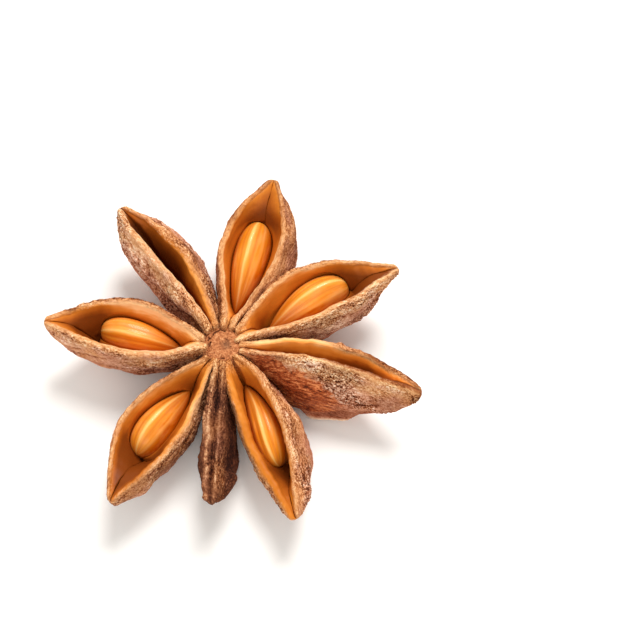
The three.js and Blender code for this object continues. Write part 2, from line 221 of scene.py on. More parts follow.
def make_seat(carpel, seed, s, side, sideways, up):
    """The wall drawn sideways towards the seed beside it, and then kept the gap away from it, and
    how close to the seed that leaves it, from 0 to 1. The seat is the seed's own oval, a little
    longer and wider, and stands straight up beside the seed's top."""
    u, middle, level, _, _ = seed_oval(carpel, seed, s)
    longer = np.clip((u + SEAT["past"]) / (1 + SEAT["past"]), 0, 1)
    swell = hump(longer, SEED_POINT, SEED_ROUND)
    there = smooth(*SEAT["begins"], swell)
    wide = seed["width"] / 2 * swell + SEAT["gap"]
    high = seed["height"] / 2 * swell + SEAT["gap"]
    t = (up - level) / high
    width = wide * np.sqrt(1 - np.clip(t, -1, SEAT["upright"]) ** 2) * smooth(*SEAT["top"], t)
    wall = there * (side * middle * smooth(*SEAT["bottom"], t) + width)
    at = station(carpel, s)
    level_on_outside = np.arcsin(np.clip((at["lip_line"] - up) / at["keel"], 0, 1)) * 2 / np.pi
    wall = np.minimum(wall, outer_wall(at, level_on_outside)[0] - SEAT["shell"])
    hug = HUG["share"] * smooth(*HUG["inner"], u) * smooth(*HUG["outer"], u)
    hug = hug * smooth(*HUG["top"], t) * smooth(*HUG["bottom"], t)
    away = side * sideways
    away = away + (np.minimum(wall, away) - away) * hug
    beside = (t > SEAT["lowest"]) & (swell > 0)
    away = np.where(beside, np.maximum(away, wall), away)
    from_seed = away - side * middle - wide * np.sqrt(1 - np.clip(t, -1, 1) ** 2)
    closeness = there * smooth(*GLOW["gap"], from_seed) * smooth(*GLOW["top"], t)
    return side * away, closeness * smooth(*GLOW["outer"], u)


def place(carpel, s, sideways, up, ahead=0):
    """Points given along, sideways and up from the lip line, at their place in the pod: rolled
    about the carpel's own length, swerved, lifted, turned to its bearing and stood on the axis.
    Ahead is how much further along they are moved than their station."""
    pivot = -ROLL_PIVOT * station(carpel, s)["keel"]
    roll = np.radians(carpel["roll"]) * smooth(0, carpel.get("full_roll", FULL_ROLL), s)
    swerve = carpel["bend"] * s ** 2 + carpel["bow"] * np.sin(np.pi * s)
    across = sideways * np.cos(roll) - (up - pivot) * np.sin(roll) + swerve
    height = sideways * np.sin(roll) + (up - pivot) * np.cos(roll) + pivot
    along = INNER_END + (carpel["reach"] - INNER_END) * s + ahead
    lift, bearing = np.radians(carpel["lift"]), np.radians(carpel["bearing"])
    out = along * np.cos(lift) - height * np.sin(lift)
    height = along * np.sin(lift) + height * np.cos(lift) + RIM_HEIGHT
    x = out * np.cos(bearing) - across * np.sin(bearing)
    y = out * np.sin(bearing) + across * np.cos(bearing)
    return np.stack(np.broadcast_arrays(x, y, height), -1) + AXIS


# ============================================================================ carpels: relief
# The flesh dried and shrank: outside it is dented, folded lengthwise and crackled all over, the
# lips are crumbly, and inside it is smooth. Each carpel is one closed skin, pushed out along its
# normals by that relief, and carries the masks that its finish is painted with.
MM = 0.001
STATIONS = 310
OUTER_POINTS = 112
LIP_POINTS = 13
INNER_POINTS = 32

# The stations are closer at the ends, which close over a short part of the length about a share
# of the depth. The form is read almost, not quite, at the very ends. The shut carpel's seam is a
# shallow groove.
CLOSER_AT_ENDS = 0.4
ALMOST = 1e-6
ROUND_END = 0.02
ROUND_ABOUT = dict(share=0.45, deepest=3.0)
SHUT_GROOVE = 0.08

# Large odd numbers that scramble the place of a lattice corner into a code for its slope.
SCRAMBLE = (374761393, 668265263, 2246822519)
SCRAMBLE_SEED = 1442695041
SCRAMBLE_AGAIN = 1274126177
HILL_HEIGHT = 1.9
CREASE_SHARPNESS = 4.0

# Each carpel takes its hills from its own stretch of them, and each lip from its own line. A lip
# wanders sideways and up and down by waves of a height, a length and a number. It is free to
# between two ranges along the carpel, and it is beside a seed between two along the seed. The
# lips' inner ends are uneven, each by the height of the hills at a spot of its own.
OWN_STRETCH = 37
LIPS_APART = 9
SWAY = ((0.15, 2.6, 1), (0.06, 0.8, 2))
RISE = ((0.12, 2.1, 3), (0.05, 0.6, 4))
FREE = ((0.03, 0.2), (1.0, 0.85))
BESIDE_SEED = ((-0.15, 0.15), (1.0, 0.8))
UNEVEN_END = 0.35
UNEVEN_UNTIL = 0.12
END_SPOT = (0.4, 0.0, 0.5)
END_SPOTS_APART = (3.1, 2.3, 0)
END_HILLS = ((1, 1, 1), 5)


def hills(points, size, number):
    """Smooth random hills of the given size along each axis, from about -1 to 1: each corner of
    a lattice has a slope in a scrambled direction, ten bits of a code to an axis, and the eight
    round a point are blended by a curve of the fifth degree."""
    scaled = points / np.array(size)
    cell = np.floor(scaled).astype(np.int64)
    inside = scaled - cell
    share = inside ** 3 * (inside * (6 * inside - 15) + 10)
    total = np.zeros(points.shape[:-1])
    for corner in range(8):
        step = np.array([corner & 1, corner >> 1 & 1, corner >> 2])
        code = ((cell + step) * np.array(SCRAMBLE)).sum(-1) + number * SCRAMBLE_SEED
        code = (code ^ (code >> 13)) * SCRAMBLE_AGAIN
        code = code ^ (code >> 16)
        rise = np.zeros(points.shape[:-1])
        weight = np.ones(points.shape[:-1])
        for axis in range(3):
            slope = ((code >> (10 * axis)) & 1023) / 511.5 - 1
            rise += slope * (inside[..., axis] - step[axis])
            weight *= share[..., axis] if step[axis] else 1 - share[..., axis]
        total += rise * weight
    return HILL_HEIGHT * total


def creases(points, size, number):
    """1 on broad rounded folds and down to 0 in the narrow creases between them, where the hills
    pass through zero."""
    return 1 - np.exp(-CREASE_SHARPNESS * np.abs(hills(points, size, number)))


def wander(line, waves):
    """The sum of hills along a line, each with its height, its length and its number."""
    return sum(height * hills(line, (length, 1, 1), number) for height, length, number in waves)


def carpel_grid(carpel, seed, number):
    """The skin as a grid of stations by points round the section, with each point's zone: q is
    the place between lip and keel or floor, side is 1 or -1, inside is 0 out to 1 in. A wall is
    the outside, a half oval over the lip, and the inside. Both ends close by a quarter circle,
    like a bud."""
    even = np.linspace(0, 1, STATIONS)
    eased = (1 - np.cos(np.pi * even)) / 2
    s = ((1 - CLOSER_AT_ENDS) * even + CLOSER_AT_ENDS * eased)[:, None]
    at = station(carpel, np.clip(s, ALMOST, 1 - ALMOST))
    length = carpel["reach"] - INNER_END
    q_out = np.linspace(1, 0, OUTER_POINTS)[None]
    q_in = np.linspace(0, 1, INNER_POINTS)[None]
    arc = np.linspace(0, np.pi, LIP_POINTS + 2)[None, 1:-1]
    y_out, z_out = outer_wall(at, q_out)
    half_lip = at["wall"] / 2
    y_lip = at["half"] + half_lip + half_lip * np.cos(arc)
    z_lip = at["lip_line"] + carpel.get("lip_round", LIP_ROUND) * half_lip * np.sin(arc)
    q = np.concatenate([q_out, 0 * arc, q_in], 1) + 0 * s
    inside = np.concatenate([0 * q_out, arc / np.pi, 1 + 0 * q_in], 1) + 0 * s
    along = length * s + 0 * q
    # the wall wanders most at the lip and not at all at the keel
    free = np.cos(np.pi * q / 2) * smooth(*FREE[0], s) * smooth(*FREE[1], s)
    beside_seed = 0 * s
    if seed:
        u = seed_oval(carpel, seed, s)[0]
        beside_seed = smooth(*BESIDE_SEED[0], u) * smooth(*BESIDE_SEED[1], u)
    both = []
    for side in (1, -1):
        y_in, z_in = inner_wall(at, q_in, side)
        if carpel.get("shut"):
            z_in = np.maximum(z_in, at["lip_line"] - SHUT_GROOVE)
        y = np.concatenate([y_out, y_lip, y_in], 1)
        z = np.concatenate([z_out, z_lip, z_in], 1)
        line = [along + OWN_STRETCH * number, LIPS_APART * side + 0 * along, 0 * along]
        line = np.stack(line, -1)
        sway, rise = wander(line, SWAY), wander(line, RISE)
        for part, which, wider, spread in carpel.get("parted", ()):
            sway = sway + (which == side) * wider * bell(along - part * length, spread)
        sideways, up = side * (y + sway * free), z + rise * free
        close_to_seed = 0 * sideways
        if seed:
            seat, closeness = make_seat(carpel, seed, s, side, sideways, up)
            sideways = np.where(inside == 1, seat, sideways)
            close_to_seed = np.where(inside == 1, closeness, 0)
        sideways[:, [0, -1]] = 0
        own_spot = np.array([[number, side, 0]]) * END_SPOTS_APART + END_SPOT
        ahead = UNEVEN_END * hills(own_spot, *END_HILLS)[0]
        ahead = ahead * smooth(UNEVEN_UNTIL, 0.0, s) + 0 * q
        both.append((sideways, up, q, inside, side + 0 * q, ahead, close_to_seed))
    right, left = both
    loop = [np.concatenate([r, l[:, ::-1][:, 1:-1]], 1) for r, l in zip(right, left)]
    y, z, q, inside, side, ahead, close_to_seed = loop
    end = np.clip(np.minimum(s, 1 - s) / ROUND_END, 0, 1)
    close = np.sqrt(np.clip(1 - (1 - end) ** 2, 0, 1))
    depth = np.minimum(at["keel"], ROUND_ABOUT["deepest"])
    middle = at["lip_line"] - ROUND_ABOUT["share"] * depth
    y = y * close
    z = middle + (z - middle) * close
    along = length * s + 0 * q
    return {
        "s": s + 0 * q, "q": q, "inside": inside, "side": side, "at": at, "length": length,
        "points": place(carpel, s, y, z, ahead), "close": close,
        "beside_seed": beside_seed + 0 * q, "close_to_seed": close_to_seed,
        "local": np.stack([along + OWN_STRETCH * number, y, z], -1),
    }


def grid_normals(points):
    """Unit normals of a grid that closes on itself along its second axis: the cross product of
    the two directions in which it runs."""
    along = np.gradient(points, axis=0)
    around = np.roll(points, -1, 1) - np.roll(points, 1, 1)
    normal = np.cross(around, along)
    return normal / np.maximum(np.linalg.norm(normal, axis=-1, keepdims=True), 1e-12)


def distance_from_lip(points, inside):
    """Millimetres round the section from the crest of the nearer lip, less than 0 inside."""
    crest = OUTER_POINTS + LIP_POINTS // 2
    step = np.linalg.norm(np.roll(points, -1, 1) - points, axis=-1)
    run = np.concatenate([np.zeros_like(step[:, :1]), np.cumsum(step, 1)], 1)
    count = points.shape[1]
    right = np.abs(run[:, :count] - run[:, crest:crest + 1])
    left = np.abs(run[:, :count] - run[:, count - crest:count - crest + 1])
    return np.minimum(right, left) * np.where(inside > 0.5, -1, 1)


# The textures of the skin: the size of each along, across and up the carpel, and its number.
TEXTURES = {
    "slants": ((6, 4, 4), 10),
    "warp": ((2.2, 1.4, 1.4), 11),
    "dents": ((3.2, 2.2, 2.2), 12),
    "folds": ((3.4, 0.95, 0.95), 13),
    "crumples": ((1.7, 0.9, 0.55), 9),
    "crackle": ((0.8, 0.34, 0.34), 14),
    "fine": ((0.42, 0.2, 0.2), 15),
    "grit": ((0.24, 0.17, 0.17), 16),
    "rough_patches": ((3.4, 2.0, 2.0), 17),
    "bare_edge": ((0.9, 0.45, 0.45), 19),
    "lip": ((0.5, 0.35, 0.35), 30),
    "lip_crumbs": ((0.3, 0.22, 0.22), 31),
    "lining": ((2.4, 1.6, 1.6), 32),
    "lining_grain": ((3.0, 0.35, 0.35), 33),
    "tone": ((4.0, 2.4, 2.4), 34),
    "knobs": ((0.6, 0.5, 0.5), 35),
}
WARP_REACH = (0.5, 0.3, -0.3)
USUAL_SLANT = 20
SLANT_VARIES = 0.5

# The wrinkles among them: how deep each is, how much deeper where the skin is rough, its middle
# level, and its share in the height that the finish is painted by.
WRINKLES = {
    "folds": (0.03, 0.1, 0.65, 0.16),
    "crumples": (0.02, 0.1, 0.6, 0.24),
    "crackle": (0.015, 0.05, 0.6, 0.27),
    "fine": (0.02, 0.02, 0.6, 0.33),
    "grit": (0.012, 0.016, 0, 0),
}
SMOOTH_LEVEL = 0.82
LEFT_AT_LIP = 0.25
LEFT_AT_KEEL = 0.4

# The height of each other form in millimetres.
RELIEF = dict(
    dents=0.24, keel_groove=-0.12, fin=0.45, lip=0.035, lip_crumbs=0.025, lining=0.05,
    lining_grain=0.012, knobs=0.08)
RIPPLES = dict(height=0.016, turn=9, warp=2)

# The range in which each thing comes or goes: from the lip in millimetres, or along the carpel
# or from lip to keel, from 0 to 1.
RANGES = dict(
    lining=(0.3, -0.2), deep_lining=(-0.4, -1.2), below_lip=(0.1, 0.9), keel=(1.0, 0.95),
    keel_groove=(1.0, 0.8), knobs=(0.13, 0.02), inner_end=(0, 0.02), outer_end=(1.0, 0.98),
    rough_patches=(-0.6, 0.5), floor_seam=(0.3, 0.6))

# The forms that run along a lip, the keel or the floor: how far off they lie, and their width.
LINES = dict(
    lip=(0.0, 0.7), lip_crumbs=(0.3, 0.35), shut_seam=(-0.5, 0.3), keel_groove=(0.09, 0.045),
    floor_seam=(0.0, 0.6))

# A fold wavers with the warp and the grit, has a lower ridge beside it and is painted darker as
# shade in it. A ridge wavers, is paler, and is broken into beads of a least height and a rise.
FOLD = dict(warp=0.15, grit=0.1, beside=0.5, paler=-1.6)
LONG_RIDGE = dict(warp=0.12, paler=1.2)
BEADS = dict(least=0.6, rise=0.8, size=(0.5, 50, 50), number=20, numbers_apart=9)

# What changes the masks: how much paler some forms are, where the fin's pale crest is a painted
# highlight, how much the tone varies, how much of the painted shade in the floor's seam the
# chamber takes away, and how much less the lining's painted shade darkens it beside a seed.
PALER = dict(fin=1.8, band=-0.12, shut_seam=-0.2)
FIN_CREST = 3
TONE_VARIES = 0.5
SEAM_LOST = 0.6
LESS_DEEP = 0.35
NOWHERE_NEAR = 9

# A carpel's own pairs of values: the usual value of each, and where along the carpel it passes
# from the column's to the tip's.
GRADED = dict(
    lined=(0, (0.35, 0.6)), deep=(1, (0.5, 0.85)), amber=(0, (0.5, 0.85)), vivid=(0, (0.5, 0.85)))

# The bare patch on one flank, the smooth band below it and the fin under it: where each starts
# and stops along the carpel, the patch's upper and lower edge, and how uneven these are.
BARE = dict(
    start=(0.03, 0.1), start_uneven=0.03, stop=(0.66, 0.56), stop_uneven=0.08, smoother=0.85)
BARE_TOP = dict(at_column=0.15, fall=11, curve=1.9, uneven=0.55, soft=0.35, warp=0.4, grit=0.3)
BARE_LOW = dict(level=0.8, fall=3, lowest=0.27, uneven=0.04, soft=(-0.02, 0.04))
BAND = dict(start=(0.3, 0.4), stop=(0.66, 0.58), smoother=0.8)
FIN = dict(level=0.86, width=0.045, start=(0.36, 0.43), stop=(0.66, 0.6), uneven=0.02)


def through(name, value):
    """0 to 1 through the named range."""
    return smooth(*RANGES[name], value)


def beside(name, value):
    """1 on the named line, and fading on both sides of it by a bell."""
    off, width = LINES[name]
    return bell(value - off, width)


def skin_textures(carpel, local):
    """The textures at each point: hills and creases in the carpel's own flat coordinates. The
    folds and the crackle follow the warp, and the crumples are turned by a varying slant too."""
    warp = hills(local, *TEXTURES["warp"])
    bent = local + warp[..., None] * np.array(WARP_REACH)
    slant = np.radians(carpel.get("slant", USUAL_SLANT))
    slant = slant * (1 + SLANT_VARIES * hills(local, *TEXTURES["slants"]))
    along, across, up = bent[..., 0], bent[..., 1], bent[..., 2]
    slanted = np.stack([
        along * np.cos(slant) + up * np.sin(slant), across,
        up * np.cos(slant) - along * np.sin(slant)], -1)
    return {
        "warp": warp,
        "dents": hills(local, *TEXTURES["dents"]),
        "folds": creases(bent, *TEXTURES["folds"]),
        "crumples": creases(slanted, *TEXTURES["crumples"]),
        "crackle": creases(bent, *TEXTURES["crackle"]),
        "fine": creases(local, *TEXTURES["fine"]),
        "grit": hills(local, *TEXTURES["grit"]),
    }


def bare_patch(carpel, grid, from_lip, skin):
    """Where the bare patch, the smooth band below it and the fin are, from 0 to 1. The patch's
    upper edge falls away from the lip with a power of s. Its lower edge is a parabola of s, and
    the band begins there. The fin is a bell between lip and keel."""
    s, q, warp = grid["s"], grid["q"], skin["warp"]
    here = carpel.get("rust", 0) * (grid["side"] < 0)
    top = BARE_TOP["at_column"] + BARE_TOP["fall"] * s ** BARE_TOP["curve"]
    top = top + BARE_TOP["uneven"] * hills(grid["local"], *TEXTURES["bare_edge"])
    down = from_lip + BARE_TOP["warp"] * warp + BARE_TOP["grit"] * skin["grit"]
    low = BARE_LOW["level"] - BARE_LOW["fall"] * (s - BARE_LOW["lowest"]) ** 2
    low = low + BARE_LOW["uneven"] * warp
    under = smooth(low + BARE_LOW["soft"][0], low + BARE_LOW["soft"][1], q)
    bare = here * smooth(*BARE["start"], s + BARE["start_uneven"] * warp)
    bare = bare * smooth(*BARE["stop"], s + BARE["stop_uneven"] * warp)
    bare = bare * smooth(top - BARE_TOP["soft"], top + BARE_TOP["soft"], down) * (1 - under)
    band = here * smooth(*BAND["start"], s) * smooth(*BAND["stop"], s) * under
    fin = carpel.get("flange", 0) * bell(q - FIN["level"], FIN["width"])
    fin = fin * (grid["side"] < 0) * (grid["inside"] < 0.5)
    fin = fin * smooth(*FIN["start"], s) * smooth(*FIN["stop"], s + FIN["uneven"] * warp)
    return bare, band, fin


def own_marks(carpel, grid, from_lip, skin):
    """The height and the paleness of the carpel's own marks. A lump is a bell along times a bell
    from the lip. A fold is a bell across a slanted line, pressed in and painted darker as shade in
    it, with half as high a ridge beside it. A ridge is a bell from the lip, broken into beads by
    hills."""
    s, length, side, warp = grid["s"], grid["length"], grid["side"], skin["warp"]
    height, pale = 0 * s, 0 * s
    for part, which, down, rise, long, wide, tint in carpel.get("lumps", ()):
        spot = bell((s - part) * length, long) * bell(from_lip - down, wide) * (side * which > 0)
        height = height + rise * spot
        pale = pale + tint * spot
    for part, which, down, long, slant, depth, wide in carpel.get("folds", ()):
        turn = np.radians(slant)
        along = (s - part) * length + FOLD["warp"] * warp
        from_fold = from_lip - down + FOLD["grit"] * skin["grit"]
        lengthwise = along * np.cos(turn) + from_fold * np.sin(turn)
        across = from_fold * np.cos(turn) - along * np.sin(turn)
        spot = depth * bell(across, wide) * bell(lengthwise, long) * (side * which > 0)
        height = height - spot + FOLD["beside"] * spot * bell(across - 2 * wide, wide)
        pale = pale + FOLD["paler"] * spot
    for which, down, rise, wide in carpel.get("ridges", ()):
        number = int(BEADS["number"] + BEADS["numbers_apart"] * down)
        beads = BEADS["least"] + BEADS["rise"] * hills(grid["local"], BEADS["size"], number)
        spot = bell(from_lip - down - LONG_RIDGE["warp"] * warp, wide) * (side * which > 0)
        height = height + rise * beads * spot
        pale = pale + LONG_RIDGE["paler"] * rise * beads * spot
    return height, pale


def graded(carpel, grid, key):
    """A pair of values, at the column and at the tip, or such a pair for each side, passing from
    the first to the second through its range."""
    usual, way = GRADED[key]
    given = carpel.get(key, (usual, usual))
    given = given if isinstance(given, dict) else {1: given, -1: given}
    right, left = given.get(1, (usual, usual)), given.get(-1, (usual, usual))
    share = smooth(*way, grid["s"])
    return np.where(
        grid["side"] > 0,
        right[0] + (right[1] - right[0]) * share, left[0] + (left[1] - left[0]) * share)


def carpel_relief(carpel, grid):
    """How far each point is pushed out, in millimetres, and the masks for the finish. Outside it
    is the dents, the groove beside the keel, the wrinkles, the fin and the carpel's own marks,
    inside low waves and grain, and at the lip crumbs."""
    s, q, side, local, at = (grid[key] for key in ("s", "q", "side", "local", "at"))
    from_lip = distance_from_lip(grid["points"], grid["inside"])
    skin = skin_textures(carpel, local)
    bare, band, fin = bare_patch(carpel, grid, from_lip, skin)
    marks, pale = own_marks(carpel, grid, from_lip, skin)
    shut = carpel.get("shut", 0)
    calm = 1 - BARE["smoother"] * bare
    patches = through("rough_patches", hills(local, *TEXTURES["rough_patches"]))
    rough = carpel.get("rough", 1.0) * patches
    rough = rough * np.where(side > 0, *carpel.get("coarser", (1, 1)))
    rough = rough * (1 - BAND["smoother"] * band)
    below_lip = np.maximum(through("below_lip", from_lip), shut)
    off_keel = through("keel", q)
    groove = RELIEF["keel_groove"] * beside("keel_groove", 1 - q) * through("keel_groove", s)
    wrinkles = sum(
        (depth + deeper * rough) * (skin[kind] - middle)
        for kind, (depth, deeper, middle, _) in WRINKLES.items())
    wrinkles = wrinkles * (LEFT_AT_LIP + (1 - LEFT_AT_LIP) * below_lip) * calm
    wrinkles = wrinkles * (LEFT_AT_KEEL + (1 - LEFT_AT_KEEL) * off_keel)
    ripples = np.sin(RIPPLES["turn"] * from_lip + RIPPLES["warp"] * skin["warp"])
    outside = RELIEF["dents"] * skin["dents"] * below_lip * off_keel + groove + wrinkles
    outside = outside + RELIEF["fin"] * fin + RIPPLES["height"] * ripples * bare + marks
    inside = RELIEF["lining"] * hills(local, *TEXTURES["lining"])
    inside = inside + RELIEF["lining_grain"] * hills(local, *TEXTURES["lining_grain"])
    crumbs = RELIEF["lip_crumbs"] * hills(local, *TEXTURES["lip_crumbs"])
    lip = RELIEF["lip"] * hills(local, *TEXTURES["lip"])
    lip = (lip + crumbs * beside("lip_crumbs", from_lip)) * beside("lip", from_lip)
    knobs = RELIEF["knobs"] * through("knobs", s) * hills(local, *TEXTURES["knobs"])
    lining = through("lining", from_lip) * (1 - shut)
    relief = outside * (1 - lining) + inside * lining * through("deep_lining", from_lip)
    relief = (relief + lip + knobs) * through("inner_end", s) * through("outer_end", s)
    height = sum(share * skin[kind] for kind, (_, _, _, share) in WRINKLES.items())
    pale = carpel.get("pale", 0) + pale + PALER["fin"] * fin ** FIN_CREST + PALER["band"] * band
    pale = pale + PALER["shut_seam"] * shut * beside("shut_seam", from_lip)
    tone = carpel["dark"] + TONE_VARIES * hills(local, *TEXTURES["tone"])
    from_floor = (1 - q) * at["keel"] + NOWHERE_NEAR * (grid["inside"] < 1)
    seam = beside("floor_seam", from_floor) * (1 - SEAM_LOST * at["chamber"])
    masks = {
        "height": height + (SMOOTH_LEVEL - height) * (1 - calm),
        "lip": from_lip - graded(carpel, grid, "lined"),
        "run": s,
        "rust": bare,
        "rough": rough,
        "pale": pale,
        "tone": np.clip(tone, 0, 1),
        "seam": seam * through("floor_seam", s),
        "shut": 0 * s + shut,
        "deep": graded(carpel, grid, "deep") * (1 - LESS_DEEP * grid["beside_seed"]),
        "amber": graded(carpel, grid, "amber"),
        "close": grid["close_to_seed"],
        "vivid": graded(carpel, grid, "vivid"),
    }
    return relief, masks


def close_loops(rows, count):
    """Quads between neighbouring rows of a grid that closes on itself."""
    i, j = np.meshgrid(np.arange(rows - 1), np.arange(count), indexing="ij")
    after = (j + 1) % count
    here, there = i * count, (i + 1) * count
    return np.stack([here + j, here + after, there + after, there + j], -1).reshape(-1, 4)


def skin_mesh(name, points, local, masks):
    """A closed mesh from a grid whose second axis closes on itself: its first and last rows
    shrink to a pole each. Masks and local places become attributes of its points."""
    rows, count = points.shape[:2]

    def ends_shrunk(values):
        middle = values[1:-1].reshape(-1, *values.shape[2:])
        return np.concatenate([middle, values[:1].mean(1), values[-1:].mean(1)])

    verts = ends_shrunk(points) * MM
    quads = close_loops(rows - 2, count)
    ring = np.arange(count)
    after = (ring + 1) % count
    start, stop = len(verts) - 2, len(verts) - 1
    last = (rows - 3) * count
    caps = np.concatenate([
        np.stack([after, ring, ring * 0 + start], -1),
        np.stack([last + ring, last + after, ring * 0 + stop], -1)])
    mesh = bpy.data.meshes.new(name)
    mesh.vertices.add(len(verts))
    mesh.vertices.foreach_set("co", verts.astype(np.float32).ravel())
    corners = np.concatenate([quads.ravel(), caps.ravel()])
    mesh.loops.add(len(corners))
    mesh.loops.foreach_set("vertex_index", corners.astype(np.int32))
    sizes = np.concatenate([np.full(len(quads), 4), np.full(len(caps), 3)])
    mesh.polygons.add(len(sizes))
    mesh.polygons.foreach_set("loop_start", (np.cumsum(sizes) - sizes).astype(np.int32))
    mesh.polygons.foreach_set("loop_total", sizes.astype(np.int32))
    for key, values in masks.items():
        attribute = mesh.attributes.new(key, "FLOAT", "POINT")
        attribute.data.foreach_set("value", ends_shrunk(values).astype(np.float32))
    attribute = mesh.attributes.new("local", "FLOAT_VECTOR", "POINT")
    attribute.data.foreach_set("vector", ends_shrunk(local).astype(np.float32).ravel())
    mesh.update(calc_edges=True)
    mesh.validate()
    mesh.shade_smooth()
    piece = bpy.data.objects.new(name, mesh)
    bpy.context.scene.collection.objects.link(piece)
    return piece


# ============================================================================ carpels: finish
# Outside, dry tan skin, brown in its creases as painted shade and darker towards the keel as
# painted shade, in places rubbed pale and in places almost plum. Inside, a smooth lining like
# varnished wood: pale at the lip, orange below it and dark brown in the depth of the chamber,
# where the darkening is painted shade.

# A palette is a row of stops, each a place from 0 to 1 and a screen colour.
TAN = (
    (0.0, 76, 29, 10), (0.25, 144, 76, 34), (0.5, 208, 139, 88), (0.75, 238, 182, 132),
    (1.0, 255, 228, 190))
ROSY = (
    (0.0, 72, 31, 16), (0.25, 136, 74, 44), (0.5, 198, 132, 98), (0.75, 230, 176, 144),
    (1.0, 252, 222, 196))
PLUM = (
    (0.0, 42, 18, 11), (0.3, 74, 37, 23), (0.55, 112, 63, 40), (0.8, 170, 110, 74),
    (1.0, 232, 180, 130))
HONEY = ((0.0, 102, 50, 22), (0.3, 166, 98, 52), (0.6, 212, 147, 92), (1.0, 246, 204, 148))
RUSTY = ((0.1, 76, 30, 14), (0.5, 176, 84, 42), (0.85, 234, 148, 92))
# The lining's palettes, pale at the lip and darker deeper down: painted shade over the lining's
# own orange.
LINING = (
    (0.0, 250, 200, 142), (0.08, 238, 168, 96), (0.18, 222, 138, 56), (0.3, 204, 118, 36),
    (0.5, 180, 96, 26), (0.75, 152, 75, 18), (1.0, 124, 58, 14))
VIVID = (
    (0.0, 255, 200, 136), (0.1, 254, 162, 80), (0.2, 250, 142, 50), (0.33, 232, 120, 34),
    (0.48, 176, 76, 16), (0.75, 120, 50, 12))
# Painted shade, multiplied into the skin towards the keel.
SHADOW = (196, 128, 96)
# Rubbed pale skin, and the painted highlight on the fin's crest.
RUBBED_AND_HIGHLIGHT = (255, 224, 190)
# Painted light: the orange that a seed's bounced light would cast on the lining beside it.
PAINTED_SEED_BOUNCE = (218, 122, 32)
# Painted shade in the seam along the chamber's floor.
FLOOR_SEAM_SHADE = (72, 32, 12)

# A grain is how many to the millimetre along and across, and its detail, roughness and
# distortion. Below them are their weights in the worn skin, in the bare patch and in the bumps.
GRAINS = dict(
    shades=(0.28, 0.95, 3.0, 0.6), flecks=(2.0, 5.0, 2.0, 0.6, 0.5),
    specks=(5.5, 9.0, 2.0, 0.6), fibres=(0.8, 6.5, 3.0, 0.6))
WINDING = (1.2, 3.2, 3.0, 0.6, 0.8)
PATCHES = (0.4, 0.6, 2.0)
CLOUDS = (0.55, 0.9, 2.0)
STREAKS = (0.35, 3.5)
CRUMBS = dict(flecks=0.2, specks=0.34, fibres=0.08, wrinkles=0.3)
BARED = dict(fibres=0.24, flecks=0.26, specks=0.14, shades=0.26)
BUMPS = dict(specks=0.5, flecks=0.6)


def paint(red, green, blue):
    """A screen colour as the linear colour that a shader takes."""
    c = np.array([red, green, blue]) / 255
    linear = np.where(c <= 0.04045, c / 12.92, ((c + 0.055) / 1.055) ** 2.4)
    return (*linear.tolist(), 1.0)


